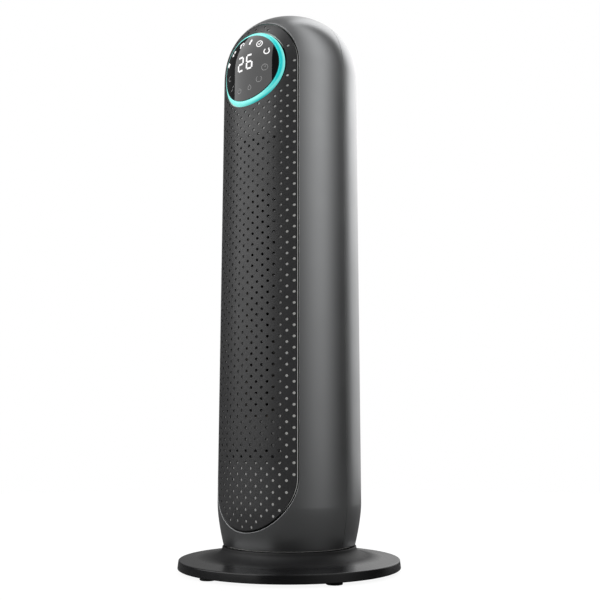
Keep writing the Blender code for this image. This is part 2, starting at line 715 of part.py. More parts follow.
# ---------------------------------------------------------------- electrics
def build_electrics(finishes, tower, rocker_axis, pendulum_axis):
    board = box((-BOARD_HALF_WIDTH, BOARD_FRONT_Y, 0.118), (BOARD_HALF_WIDTH, BOARD_FRONT_Y + 0.0016, 0.156))
    node("power_board", board, finishes["board"], parent=tower)
    sink = [(-0.026, 0.0440), (0.002, 0.0440), (0.002, 0.0455), (-0.0245, 0.0455)]
    sink += [(-0.0245, BOARD_FRONT_Y - 0.0004), (-0.026, BOARD_FRONT_Y - 0.0004)]
    node("triac_heat_sink", prism(sink, 0.122, 0.150), finishes["aluminium"], parent=tower)
    capacitor = box((0.008, 0.0450, 0.124), (0.024, BOARD_FRONT_Y - 0.0004, 0.146))
    node("filter_capacitor", capacitor, finishes["white"], parent=tower)

    x0, x1 = -SWITCH_HALF_WIDTH, SWITCH_HALF_WIDTH
    z0, z1 = SWITCH_HEIGHT - SWITCH_HALF_HEIGHT, SWITCH_HEIGHT + SWITCH_HALF_HEIGHT
    case = box((x0 + 0.0020, 0.0560, z0 + 0.0020), (x1 - 0.0020, 0.0810, z1 - 0.0020))
    rim = rounded_box_outline(SWITCH_HALF_WIDTH, z0, z1, 0.002, 2)
    flange = prism(rim, BODY_RADIUS + GAP, SWITCH_FLANGE_Y, "Y")
    case = joined(case, flange)
    case = cut(case, box((-0.0081, 0.0610, z0 + 0.0028), (0.0081, 0.09, z1 - 0.0028)))
    node("switch_case", case, finishes["black"], parent=tower)

    face, reach = ROCKER_FACE, ROCKER_REACH
    outline = [(-face * 0.35, -0.0050), (-0.0050, 0.0), (-face * 0.35, 0.0050)]
    outline += [(face, reach), (face - 0.0012, 0.0), (face, -reach)]
    tilt = math.radians(ROCKER_TILT)
    turned_outline = []
    for y, z in outline:
        turned_outline.append(
            (
                ROCKER_PIVOT_Y + y * math.cos(tilt) - z * math.sin(tilt),
                SWITCH_HEIGHT + y * math.sin(tilt) + z * math.cos(tilt),
            )
        )
    rocker = prism(turned_outline, -ROCKER_HALF_WIDTH, ROCKER_HALF_WIDTH, "X")
    rocker_origin = (0.0, ROCKER_PIVOT_Y, SWITCH_HEIGHT)
    node("power_rocker", rocker, finishes["gloss"], origin=rocker_origin, parent=rocker_axis)

    # tip-over switch: a hanging weight on a pin
    floor = TURNTABLE_TOP + GAP
    bracket = box((-0.0465, -0.034, floor), (-0.0445, -0.014, 0.064))
    bracket = joined(bracket, box((-0.0465, -0.034, floor), (-0.030, -0.014, floor + 0.002)))
    bracket = joined(bracket, rod("X", (PENDULUM_Y, PENDULUM_PIN), 0.0015, -0.0450, -0.0350, 12))
    node("tilt_switch_bracket", bracket, finishes["plate"], parent=tower)
    weight = box((-0.0430, -0.0264, 0.041), (-0.0370, -0.0216, 0.0605))
    weight = joined(weight, rod("X", (PENDULUM_Y, 0.042), 0.0055, -0.0440, -0.0360, 16))
    weight = cut(weight, rod("X", (PENDULUM_Y, PENDULUM_PIN), 0.0018, -0.05, -0.03, 12))
    hinge = (PENDULUM_X, PENDULUM_Y, PENDULUM_PIN)
    node("tilt_pendulum", weight, finishes["steel"], origin=hinge, parent=pendulum_axis)


def wiring_route(points, steps):
    """Smooth line through the points (Catmull-Rom)."""
    ends = [points[0]] + points + [points[-1]]
    route = []
    for first, start, stop, last in zip(ends, ends[1:], ends[2:], ends[3:]):
        for step in range(steps):
            t = step / steps
            route.append(
                0.5
                * (
                    2 * start
                    + (stop - first) * t
                    + (2 * first - 5 * start + 4 * stop - last) * t**2
                    + (3 * start - first - 3 * stop + last) * t**3
                )
            )
    route.append(points[-1])
    return route


def build_wiring(finishes, tower):
    points = [
        Vector((0.028, 0.0600, 0.158)),
        Vector((0.046, 0.0440, 0.175)),
        Vector((0.050, 0.0330, 0.240)),
        Vector((0.050, 0.0330, 0.350)),
        Vector((0.048, 0.0250, 0.440)),
        Vector((0.030, 0.0000, 0.480)),
        Vector((0.010, -0.0300, 0.510)),
        Vector((0.000, -0.0440, 0.535)),
    ]
    curve = bpy.data.curves.new("wiring_loom", "CURVE")
    curve.dimensions = "3D"
    curve.bevel_depth = 0.0022
    curve.bevel_resolution = 2
    curve.use_fill_caps = True
    route = wiring_route(points, 3)
    spline = curve.splines.new("POLY")
    spline.points.add(len(route) - 1)
    for point, place in zip(spline.points, route):
        point.co = (*place, 1.0)
    curve.materials.append(finishes["rubber"])
    loom = bpy.data.objects.new("wiring_loom", curve)
    bpy.context.collection.objects.link(loom)
    loom.parent = tower


# ---------------------------------------------------------------- back of the tower
def build_back(finishes, tower):
    outline = rounded_box_outline(INTAKE_HALF_WIDTH - 0.0006, INTAKE_LOW + 0.0006, INTAKE_HIGH - 0.0006, 0.0114, 4)
    grille = common(skin(0.0006, 0.0022, BACK_ROUND), prism(outline, 0.02, 0.1, "Y"))
    count = int((INTAKE_HIGH - INTAKE_LOW - 0.020) / SLOT_PITCH)
    middle = 0.5 * (INTAKE_LOW + INTAKE_HIGH)
    slots = bmesh.new()
    for row in range(count):
        centre = middle + (row - 0.5 * (count - 1)) * SLOT_PITCH
        low = centre - 0.5 * SLOT_HEIGHT
        add_body(slots, box((-0.037, 0.03, low), (0.037, 0.1, low + SLOT_HEIGHT)))
    grille = cut(grille, slots)
    node("intake_grille", grille, finishes["grille"], parent=tower)

    mat = common(
        skin(0.0044, 0.0022, BACK_ROUND),
        prism(rounded_box_outline(0.041, INTAKE_LOW + 0.004, INTAKE_HIGH - 0.004, 0.010), 0.02, 0.1, "Y"),
    )
    node("intake_filter", mat, finishes["filter"], parent=tower)

    outer = rounded_box_outline(HANDLE_HALF_WIDTH - 0.0004, HANDLE_LOW + 0.0004, HANDLE_HIGH - 0.0004, 0.0116)
    inner = rounded_box_outline(HANDLE_HALF_WIDTH - 0.0026, HANDLE_LOW + 0.0026, HANDLE_HIGH - 0.0026, 0.0094)
    cup = common(filled_skin(0.0004), prism(outer, HANDLE_FLOOR_Y - 0.002, 0.1, "Y"))
    cup = cut(cup, prism(inner, HANDLE_FLOOR_Y, 0.1, "Y"))
    node("handle_cup", cup, finishes["black"], parent=tower)


# ---------------------------------------------------------------- assembly
def main():
    clear_scene()
    finishes = {
        "gunmetal": material("gunmetal_paint", (0.20, 0.21, 0.22), 0.34, 0.85),
        "base": material("base_black", (0.035, 0.036, 0.038), 0.22, 0.20),
        "grille": material("grille_grey", (0.075, 0.078, 0.082), 0.48, 0.20),
        "lens": material("display_black", (0.010, 0.010, 0.012), 0.06),
        "cyan": material("ring_cyan", (0.02, 0.70, 0.68), 0.18),
        "white": material("natural_white", (0.75, 0.75, 0.73), 0.50),
        "black": material("black_plastic", (0.030, 0.030, 0.032), 0.50),
        "gloss": material("rocker_black", (0.020, 0.020, 0.022), 0.15),
        "rubber": material("soft_black", (0.025, 0.025, 0.025), 0.80),
        "plate": material("zinc_plate", (0.52, 0.53, 0.54), 0.42, 1.0),
        "iron": material("ballast_iron", (0.10, 0.10, 0.10), 0.65, 1.0),
        "steel": material("steel", (0.56, 0.57, 0.58), 0.30, 1.0),
        "aluminium": material("fin_aluminium", (0.72, 0.73, 0.74), 0.38, 1.0),
        "ceramic": material("ptc_ceramic", (0.66, 0.62, 0.54), 0.60),
        "brass": material("bush_bronze", (0.60, 0.43, 0.20), 0.35, 1.0),
        "board": material("board_green", (0.03, 0.16, 0.07), 0.45),
        "filter": material("filter_mesh", (0.12, 0.12, 0.13), 0.90),
    }
    fixed = axis_empty("base_frame", (0.0, 0.0, 0.0))
    tower = axis_empty("tower_axis", (0.0, 0.0, 0.0), fixed)
    x, y = pinion_centre()
    pinion_axis = axis_empty("pinion_axis", (x, y, 0.0), tower)
    impeller_axis = axis_empty("impeller_axis", (0.0, BLOWER_Y, 0.0), tower)
    rocker_axis = axis_empty("rocker_axis", (0.0, ROCKER_PIVOT_Y, SWITCH_HEIGHT), tower)
    pendulum_axis = axis_empty("pendulum_axis", (PENDULUM_X, PENDULUM_Y, PENDULUM_PIN), tower)

    build_base(finishes, fixed)
    build_swivel_drive(finishes, fixed, tower, pinion_axis)
    build_shells(finishes, tower)
    build_front_panel(finishes, tower)
    build_display(finishes, tower)
    build_heater(finishes, tower)
    build_blower(finishes, tower, impeller_axis)
    build_electrics(finishes, tower, rocker_axis, pendulum_axis)
    build_wiring(finishes, tower)
    build_back(finishes, tower)


main()
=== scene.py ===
"""Looks of the oscillating ceramic tower heater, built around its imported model.

Metres, +Z up, front of the tower towards -Y. Surfaces repeat the CAD's own formulas at a finer step.
"""

import json
import math

import bpy
import numpy as np
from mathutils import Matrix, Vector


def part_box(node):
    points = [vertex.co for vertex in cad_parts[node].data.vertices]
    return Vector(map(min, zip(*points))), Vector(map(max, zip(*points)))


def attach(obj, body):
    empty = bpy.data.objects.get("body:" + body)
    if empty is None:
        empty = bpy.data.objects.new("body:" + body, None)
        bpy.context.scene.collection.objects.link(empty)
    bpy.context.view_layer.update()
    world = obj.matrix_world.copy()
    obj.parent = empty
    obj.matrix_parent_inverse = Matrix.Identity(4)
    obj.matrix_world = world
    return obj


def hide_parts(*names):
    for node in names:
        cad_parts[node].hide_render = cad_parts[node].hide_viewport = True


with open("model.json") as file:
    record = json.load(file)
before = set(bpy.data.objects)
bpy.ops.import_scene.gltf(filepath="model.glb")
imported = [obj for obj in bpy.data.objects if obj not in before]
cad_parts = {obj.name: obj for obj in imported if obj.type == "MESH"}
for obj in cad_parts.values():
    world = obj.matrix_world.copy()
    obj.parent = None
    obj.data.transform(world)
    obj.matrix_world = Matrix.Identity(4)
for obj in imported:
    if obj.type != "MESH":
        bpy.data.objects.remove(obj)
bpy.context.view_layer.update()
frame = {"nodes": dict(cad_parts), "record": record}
NODES = frame["nodes"]

# ------------------------ sizes, from the frame where it has them
SHELL_LOW, SHELL_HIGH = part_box("rear_shell")
COVER_LOW, COVER_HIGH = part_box("base_cover")
PANEL_LOW, PANEL_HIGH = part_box("front_grille")
RING_LOW, RING_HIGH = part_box("light_ring")
INTAKE_LOW, INTAKE_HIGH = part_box("intake_grille")
HANDLE_LOW, HANDLE_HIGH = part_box("handle_cup")
SWITCH_LOW, SWITCH_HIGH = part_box("switch_case")

BODY_RADIUS = SHELL_HIGH[0]
BODY_BOTTOM = SHELL_LOW[2]
BODY_TOP = SHELL_HIGH[2]
DOME_HEIGHT = 0.0794
DOME_START = BODY_TOP - DOME_HEIGHT
DOME_POWER = 2.3
TUCK_TOP = 0.072
TUCK_DEPTH = 0.0071
TUCK_POWER = 1.6
SHELL_WALL = 0.0026
SEAM_Y = -0.0035
SEAM_HALF_GAP = 0.0002

PANEL_HALF_WIDTH = PANEL_HIGH[0]
PANEL_ROUND_LOW = PANEL_LOW[2] + PANEL_HALF_WIDTH
PANEL_ROUND_HIGH = PANEL_HIGH[2] - PANEL_HALF_WIDTH
PANEL_GAP = 0.0008
PANEL_INSET = 0.0003
PANEL_WALL = 0.0015
HOLE_RADIUS = 0.0015
HOLE_COLUMNS = 0.006085  # between neighbouring columns
HOLE_ROWS = 0.006  # between a row and the next, shifted one
HOLE_MIDDLE = (0.0034, 0.6090)  # one hole of the column nearest the middle
HOLE_MARGIN = 0.0021  # least distance from a hole's centre to an edge

DISPLAY_HEIGHT = 0.5 * (RING_LOW[2] + RING_HIGH[2])
RING_OUTER = RING_HIGH[0]
RING_INNER = 0.0397
RING_CLEARANCE = 0.0003  # between the ring and the panel round it
LENS_RADIUS = RING_INNER - 0.0002
LENS_EDGE = 0.0003
LENS_WALL = 0.002
LENS_PROUD = 0.0018

BASE_RADIUS = COVER_HIGH[0]
RIM_HEIGHT = COVER_LOW[2]
COLLAR_TOP = COVER_HIGH[2]
TOWARDS_BACK = (0.0, 1.0, 0.0)
TOWARDS_FRONT = (0.0, -1.0, 0.0)


# ------------------------ the tower's surface
def body_radius(height, inset=0.0):
    tuck = np.clip((TUCK_TOP - height) / (TUCK_TOP - BODY_BOTTOM), 0.0, 1.0)
    dome = np.clip((height - DOME_START) / (DOME_HEIGHT - inset), 0.0, 1.0)
    across = (1.0 - dome**DOME_POWER) ** (1.0 / DOME_POWER)
    return (BODY_RADIUS - inset) * across - TUCK_DEPTH * tuck**TUCK_POWER


def seen_flat(x, z, side, inset=0.0):
    """Points of the surface at (x, z) as seen along Y: side -1 is the front, +1 the back."""
    depth = np.sqrt(np.maximum(body_radius(z, inset) ** 2 - x**2, 1e-8))
    return np.stack([x, side * depth, z], axis=-1)


def surface_normals(points):
    step = 1e-5
    slope = (body_radius(points[:, 2] + step) - body_radius(points[:, 2] - step)) / (2 * step)
    radius = np.maximum(np.hypot(points[:, 0], points[:, 1]), 1e-9)
    slope = np.clip(slope, -60.0, 60.0)
    normals = np.stack([points[:, 0], points[:, 1], -slope * radius], axis=-1)
    flat_top = radius < 1e-6
    normals[flat_top] = (0.0, 0.0, 1.0)
    return normals / np.linalg.norm(normals, axis=1, keepdims=True)


def settled_round(points):
    """Points moved onto the surface, outwards from the tower's axis."""
    radius = np.maximum(np.hypot(points[:, 0], points[:, 1]), 1e-9)
    rise = (points[:, 2] - DOME_START) / DOME_HEIGHT
    domed = rise > 0
    reach = (radius / BODY_RADIUS) ** DOME_POWER + np.maximum(rise, 0.0) ** DOME_POWER
    share = reach ** (-1 / DOME_POWER)
    factor = np.where(domed, share, body_radius(points[:, 2]) / radius)
    moved = points.copy()
    moved[:, 0] *= factor
    moved[:, 1] *= factor
    moved[domed, 2] = DOME_START + (points[domed, 2] - DOME_START) * share[domed]
    return moved


def settled_front(inset):
    return lambda points: seen_flat(points[:, 0], points[:, 2], -1, inset)


def settled_back(inset):
    return lambda points: seen_flat(points[:, 0], points[:, 2], 1, inset)


# ------------------------ outlines as distances, positive outside
def from_slot(x, z, half_width, low_centre, high_centre):
    return np.hypot(x, z - np.clip(z, low_centre, high_centre)) - half_width


def from_rectangle(x, z, half_width, low, high, corner):
    across = np.abs(x) - (half_width - corner)
    up = np.abs(z - 0.5 * (low + high)) - (0.5 * (high - low) - corner)
    outside = np.hypot(np.maximum(across, 0.0), np.maximum(up, 0.0))
    return outside + np.minimum(np.maximum(across, up), 0.0) - corner


def from_circle(x, z, centre_x, centre_z, radius):
    return np.hypot(x - centre_x, z - centre_z) - radius


# ------------------------ mesh tools
CUT_SNAP = 1.5e-5  # corners nearer than this to a cut line count as inside it
CUT_ROUNDS = 18  # halvings used to find where an edge crosses a cut line
SAME_ROW = 2e-4  # rows closer together than this are merged


def placed(name, data):
    made = bpy.data.objects.new(name, data)
    bpy.context.scene.collection.objects.link(made)
    return made


def piece(name, points, faces, body, normals=None, smooth_angle=None):
    mesh = bpy.data.meshes.new(name)
    mesh.from_pydata([tuple(point) for point in points], [], [tuple(face) for face in faces])
    mesh.shade_smooth()
    if normals is not None:
        mesh.normals_split_custom_set_from_vertices([tuple(normal) for normal in normals])
    elif smooth_angle is not None:
        mesh.set_sharp_from_angle(angle=math.radians(smooth_angle))
    made = placed(name, mesh)
    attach(made, body)
    return made


def edges_of(faces):
    """Every face's edges as (corner, next corner), in the direction the face runs."""
    return {(face[k], face[(k + 1) % len(face)]) for face in faces for k in range(len(face))}


def clipped(points, faces, keep, settle):
    """The part of a sheet where keep(points) is positive, cut exactly along its zero line."""
    values = keep(points)
    values = np.where(np.abs(values) < CUT_SNAP, CUT_SNAP, values)
    points = list(points)
    crossing = {}

    def cut_point(a, b):
        key = (min(a, b), max(a, b))
        if key not in crossing:
            low, high = (a, b) if values[a] > 0 else (b, a)
            start, stop = 0.0, 1.0
            for _ in range(CUT_ROUNDS):
                share = 0.5 * (start + stop)
                middle = settle((points[low] + (points[high] - points[low]) * share)[None])
                if keep(middle)[0] > 0:
                    start = share
                else:
                    stop = share
            crossing[key] = len(points)
            points.append(settle((points[low] + (points[high] - points[low]) * start)[None])[0])
        return crossing[key]

    kept = []
    for face in faces:
        inside = [values[corner] > 0 for corner in face]
        if all(inside):
            kept.append(face)
            continue
        if not any(inside):
            continue
        outline = []
        for place, corner in enumerate(face):
            after = face[(place + 1) % len(face)]
            if inside[place]:
                outline.append(corner)
            if inside[place] != (values[after] > 0):
                outline.append(cut_point(corner, after))
        if len(outline) > 2:
            kept.append(tuple(outline))
    used = sorted({corner for face in kept for corner in face})
    place_of = {corner: place for place, corner in enumerate(used)}
    points = np.array([points[corner] for corner in used])
    return points, [tuple(place_of[corner] for corner in face) for face in kept]


def solid_sheet(name, points, faces, body, wall, edge, inward=None, steps=3):
    """Closed wall behind a sheet. Its borders grow outwards by edge, in a quarter round."""
    normals = surface_normals(points)
    inward = -normals if inward is None else np.tile(np.array(inward, float), (len(points), 1))
    directed = edges_of(faces)
    border = sorted(pair for pair in directed if (pair[1], pair[0]) not in directed)
    outwards = np.zeros_like(points)
    for a, b in border:
        along = points[b] - points[a]
        aside = np.cross(along, normals[a] + normals[b])
        aside /= max(np.linalg.norm(aside), 1e-12)
        outwards[a] += aside
        outwards[b] += aside
    rim = sorted({corner for pair in border for corner in pair})
    aside = outwards[rim]
    length = np.maximum(np.linalg.norm(aside, axis=1, keepdims=True), 0.7)
    mitre = 2.0 * aside / length**2
    aside = aside / length

    all_points = [points]
    all_normals = [normals]
    rings = [{corner: corner for corner in rim}]
    count = len(points)
    turns = [0.5 * math.pi * (step + 1) / steps for step in range(steps)] if edge > 0 else []
    for turn in turns:
        sunk = inward[rim] * edge * (1 - math.cos(turn))
        all_points.append(points[rim] + mitre * edge * math.sin(turn) + sunk)
        all_normals.append(normals[rim] * math.cos(turn) + aside * math.sin(turn))
        rings.append({corner: count + place for place, corner in enumerate(rim)})
        count += len(rim)
    all_points.append(points[rim] + mitre * edge + inward[rim] * wall)
    all_normals.append(aside)
    rings.append({corner: count + place for place, corner in enumerate(rim)})
    count += len(rim)
    inner = np.setdiff1d(np.arange(len(points)), rim)
    all_points.append(points[inner] + inward[inner] * wall)
    all_normals.append(-normals[inner])
    back = {corner: count + place for place, corner in enumerate(inner)}
    back.update(rings[-1])

    closed = list(faces)
    for near, far in zip(rings, rings[1:]):
        closed += [(near[b], near[a], far[a], far[b]) for a, b in border]
    closed += [tuple(back[corner] for corner in reversed(face)) for face in faces]
    return piece(name, np.concatenate(all_points), closed, body, normals=np.concatenate(all_normals))


def grid(columns, rows):
    """Upright sheet of quads on the plane y = 0, over the columns' x and the rows' z."""
    points = np.array([(x, 0.0, z) for z in rows for x in columns])
    across = len(columns)
    faces = []
    for low in range(0, across * (len(rows) - 1), across):
        for near in range(low, low + across - 1):
            faces.append((near, near + 1, near + 1 + across, near + across))
    return points, faces


def circle_points(radius, count):
    """Points (right, up) round a circle."""
    angles = [2 * math.pi * step / count for step in range(count)]
    return [(radius * math.cos(angle), radius * math.sin(angle)) for angle in angles]


def band(low, high, count):
    """Quads between two rings of count points, which start at indices low and high."""
    faces = []
    for step in range(count):
        after = (step + 1) % count
        faces.append((low + step, low + after, high + after, high + step))
    return faces


def bands(rings, count):
    """Quads round a closed chain of rings, from each to the next and from the last to the first."""
    faces = []
    for ring in range(rings):
        faces += band(ring * count, (ring + 1) % rings * count, count)
    return faces


def turned(name, profile, body, segments, smooth_angle=32):
    """A closed (radius, height) section turned about the tower's axis."""
    points = []
    for radius, height in profile:
        points += [(x, y, height) for x, y in circle_points(radius, segments)]
    return piece(name, points, bands(len(profile), segments), body, smooth_angle=smooth_angle)


def spaced(low, high, step):
    count = max(1, round((high - low) / step))
    return [low + (high - low) * k / count for k in range(count + 1)]


def merged_rows(*groups):
    rows = sorted({round(value, 6) for group in groups for value in group})
    return [value for k, value in enumerate(rows) if k == 0 or value - rows[k - 1] > SAME_ROW]


# ------------------------ material tools
def joined(tree, kind, operation, *values, output=0, **settings):
    """Output of a new Math or VectorMath node. Each value is a socket or a constant."""
    made = tree.nodes.new(kind)
    made.operation = operation
    for key, setting in settings.items():
        setattr(made, key, setting)
    for socket, value in zip(made.inputs, values):
        if isinstance(value, bpy.types.NodeSocket):
            tree.links.new(value, socket)
        else:
            socket.default_value = value
    return made.outputs[output]


class Finish:
    """A Principled material that is built up node by node."""

    def __init__(self, name, colour, roughness, metallic=0.0):
        self.material = bpy.data.materials.new(name)
        self.material.use_nodes = True
        self.tree = self.material.node_tree
        self.shader = self.tree.nodes["Principled BSDF"]
        self.material.diffuse_color = (*colour, 1.0)
        self.colour = colour
        self.roughness = roughness
        self.set("Base Color", (*colour, 1.0))
        self.set("Roughness", roughness)
        self.set("Metallic", metallic)

    def set(self, socket, value):
        self.shader.inputs[socket].default_value = value

    def node(self, kind, **settings):
        made = self.tree.nodes.new(kind)
        for key, value in settings.items():
            setattr(made, key, value)
        return made

    def link(self, start, stop):
        self.tree.links.new(start, stop)

    def place(self, scale=(1.0, 1.0, 1.0)):
        """Object coordinates in metres, stretched by scale."""
        coordinates = self.node("ShaderNodeTexCoord")
        mapping = self.node("ShaderNodeMapping")
        mapping.inputs["Scale"].default_value = scale
        self.link(coordinates.outputs["Object"], mapping.inputs["Vector"])
        return mapping.outputs["Vector"]

    def noise(self, scale, detail=2.0, stretch=(1.0, 1.0, 1.0)):
        made = self.node("ShaderNodeTexNoise")
        made.inputs["Scale"].default_value = scale
        made.inputs["Detail"].default_value = detail
        self.link(self.place(stretch), made.inputs["Vector"])
        return made.outputs["Fac"]

    def ranged(self, value, low, high, start=0.3, stop=0.7):
        made = self.node("ShaderNodeMapRange")
        numbers = {"From Min": start, "From Max": stop, "To Min": low, "To Max": high}
        for socket, number in numbers.items():
            made.inputs[socket].default_value = number
        self.link(value, made.inputs["Value"])
        return made.outputs["Result"]

    def tint(self, value, low, high):
        """Base colour between low and high times the finish's colour."""
        made = self.node("ShaderNodeMix", data_type="RGBA")
        made.inputs["A"].default_value = (*[channel * low for channel in self.colour], 1.0)
        made.inputs["B"].default_value = (*[min(channel * high, 1.0) for channel in self.colour], 1.0)
        self.link(value, made.inputs["Factor"])
        self.link(made.outputs["Result"], self.shader.inputs["Base Color"])

    def vary_roughness(self, value, spread):
        ranged = self.ranged(value, self.roughness - spread, self.roughness + spread)
        self.link(ranged, self.shader.inputs["Roughness"])

    def bump(self, height, depth, strength=1.0):
        made = self.node("ShaderNodeBump")
        made.inputs["Strength"].default_value = strength
        made.inputs["Distance"].default_value = depth
        self.link(height, made.inputs["Height"])
        self.link(made.outputs["Normal"], self.shader.inputs["Normal"])

    def glow(self, colour, strength):
        self.set("Emission Color", (*colour, 1.0))
        self.set("Emission Strength", strength)

    def math(self, operation, *values, **settings):
        return joined(self.tree, "ShaderNodeMath", operation, *values, **settings)

    def vector(self, operation, *values, output="Vector"):
        return joined(self.tree, "ShaderNodeVectorMath", operation, *values, output=output)


def moulded(name, colour, roughness, grain=900.0, depth=0.00003):
    """Moulded plastic with a fine texture and faint cloudiness."""
    finish = Finish(name, colour, roughness)
    finish.tint(finish.noise(14.0, 3.0), 0.93, 1.07)
    finish.vary_roughness(finish.noise(60.0, 3.0), 0.04)
    finish.bump(finish.noise(grain, 2.0), depth, 0.5)
    return finish.material


def painted_glow_plastic(name, colour, strength):
    """Moulded plastic that glows as painted light, though it is no lamp, to stand for light falling
    on it.
    """
    finish = Finish(name, colour, 0.5)
    # Painted light: a glow on a part that is no lamp.
    finish.glow(colour, strength)
    finish.tint(finish.noise(20.0, 3.0), 0.92, 1.06)
    finish.bump(finish.noise(900.0, 2.0), 0.00003, 0.4)
    return finish.material


def metallic_paint(name, colour, roughness):
    """Satin paint with fine metal flakes under a thin clear coat."""
    finish = Finish(name, colour, roughness, 1.0)
    finish.tint(finish.noise(5200.0, 1.0), 0.90, 1.10)
    finish.vary_roughness(finish.noise(26.0, 3.0), 0.02)
    finish.bump(finish.noise(2600.0, 1.0), 0.000012, 0.35)
    finish.set("Coat Weight", 0.12)
    finish.set("Coat Roughness", 0.22)
    return finish.material


def foot_black(name):
    """Smooth black plastic with a more matt flare under the tower."""
    finish = Finish(name, (0.006, 0.006, 0.0065), 0.22)
    finish.tint(finish.noise(14.0, 3.0), 0.90, 1.10)
    finish.bump(finish.noise(1200.0, 2.0), 0.00001, 0.5)
    finish.set("Specular IOR Level", 0.36)
    radius = finish.vector("LENGTH", finish.place((1.0, 1.0, 0.0)), output="Value")
    matt = finish.ranged(radius, 0.60, 0.22, 0.088, 0.102)
    uneven = finish.ranged(finish.noise(60.0, 3.0), -0.02, 0.02)
    finish.link(finish.math("ADD", matt, uneven), finish.shader.inputs["Roughness"])
    return finish.material


def brushed_metal(name, colour, roughness, stretch=(1.0, 1.0, 30.0), scale=90.0):
    finish = Finish(name, colour, roughness, 1.0)
    lines = finish.noise(scale, 3.0, stretch)
    finish.tint(lines, 0.85, 1.12)
    finish.vary_roughness(lines, 0.08)
    finish.bump(lines, 0.00002, 0.4)
    return finish.material


def cast_metal(name, colour, roughness):
    finish = Finish(name, colour, roughness, 1.0)
    finish.tint(finish.noise(140.0, 5.0), 0.7, 1.3)
    finish.bump(finish.noise(420.0, 4.0), 0.0002, 0.6)
    return finish.material


def fired_ceramic(name, colour):
    finish = Finish(name, colour, 0.62)
    finish.tint(finish.noise(240.0, 4.0), 0.86, 1.06)
    finish.bump(finish.noise(900.0, 3.0), 0.00006, 0.6)
    return finish.material


def circuit_board(name):
    finish = Finish(name, (0.02, 0.14, 0.06), 0.4)
    tracks = finish.node("ShaderNodeTexBrick")
    tracks.inputs["Scale"].default_value = 160.0
    tracks.inputs["Mortar Size"].default_value = 0.06
    tracks.inputs["Color1"].default_value = (0.018, 0.13, 0.055, 1.0)
    tracks.inputs["Color2"].default_value = (0.022, 0.16, 0.07, 1.0)
    tracks.inputs["Mortar"].default_value = (0.10, 0.30, 0.12, 1.0)
    finish.link(finish.place(), tracks.inputs["Vector"])
    finish.link(tracks.outputs["Color"], finish.shader.inputs["Base Color"])
    return finish.material


def woven_mesh(name, colour):
    """Fine square weave of the dust filter."""
    finish = Finish(name, colour, 0.85)
    threads = []
    for direction in ("X", "Z"):
        wave = finish.node("ShaderNodeTexWave", bands_direction=direction)
        wave.inputs["Scale"].default_value = 420.0
        finish.link(finish.place(), wave.inputs["Vector"])
        threads.append(wave.outputs["Fac"])
    crossed = finish.math("MAXIMUM", *threads)
    finish.tint(crossed, 0.35, 1.5)
    finish.bump(crossed, 0.0003, 0.8)
    return finish.material


def display_glass(name):
    """Polished black lens with the faintest smudges in its gloss."""
    finish = Finish(name, (0.004, 0.004, 0.005), 0.05)
    finish.vary_roughness(finish.noise(34.0, 4.0), 0.012)
    finish.set("IOR", 1.52)
    return finish.material


def lit_ring(name):
    """Ring lit from inside. Its pale aqua glow is a painted highlight, with painted shade in teal on
    its right slope and along its lower outer edge.
    """
    finish = Finish(name, (0.02, 0.45, 0.43), 0.22)
    flat = finish.place((1.0, 0.0, 1.0))
    shifted = finish.vector("SUBTRACT", flat, (0.0, 0.0, DISPLAY_HEIGHT))
    distance = finish.vector("LENGTH", shifted, output="Value")
    unit = finish.vector("NORMALIZE", shifted)
    middle = 0.5 * (RING_INNER + RING_OUTER)

    def shade_sector(degrees, start, stop, inner, outer):
        """Mask of painted shade: 1 near that direction round the ring and beyond the outer radius,
        fading to 0.
        """
        turn = math.radians(degrees)
        direction = (math.cos(turn), 0.0, math.sin(turn))
        turned_to = finish.vector("DOT_PRODUCT", unit, direction, output="Value")
        around = finish.ranged(turned_to, 0.0, 1.0, start, stop)
        across = finish.ranged(distance, 0.0, 1.0, inner, outer)
        return finish.math("MULTIPLY", around, across)

    # Painted shade in darker teal on the right slope and along the lower outer edge.
    right_slope_shade = shade_sector(3.0, 0.35, 0.86, middle + 0.0014, middle - 0.0004)
    lower_edge_shade = shade_sector(-48.0, 0.50, 0.95, middle + 0.0002, middle + 0.0022)
    shaded = finish.math("MAXIMUM", right_slope_shade, lower_edge_shade)
    uneven = finish.ranged(finish.noise(70.0, 2.0), -0.06, 0.06)
    shade_and_cloud = finish.math("ADD", shaded, uneven, use_clamp=True)
    # Glow colour: pale aqua (A) is a painted highlight, darker teal (B) is painted shade.
    glow = finish.node("ShaderNodeMix", data_type="RGBA")
    glow.inputs["A"].default_value = (0.30, 0.84, 0.76, 1.0)
    glow.inputs["B"].default_value = (0.0, 0.42, 0.43, 1.0)
    finish.link(shade_and_cloud, glow.inputs["Factor"])
    finish.link(glow.outputs["Result"], finish.shader.inputs["Emission Color"])
    finish.set("Emission Strength", 0.92)
    return finish.material


def lit_mark(name, strength, colour=(1.0, 1.0, 1.0)):
    finish = Finish(name, (0.12, 0.12, 0.12), 0.4)
    finish.glow(colour, strength)
    finish.tint(finish.noise(300.0, 1.0), 0.95, 1.05)
    return finish.material


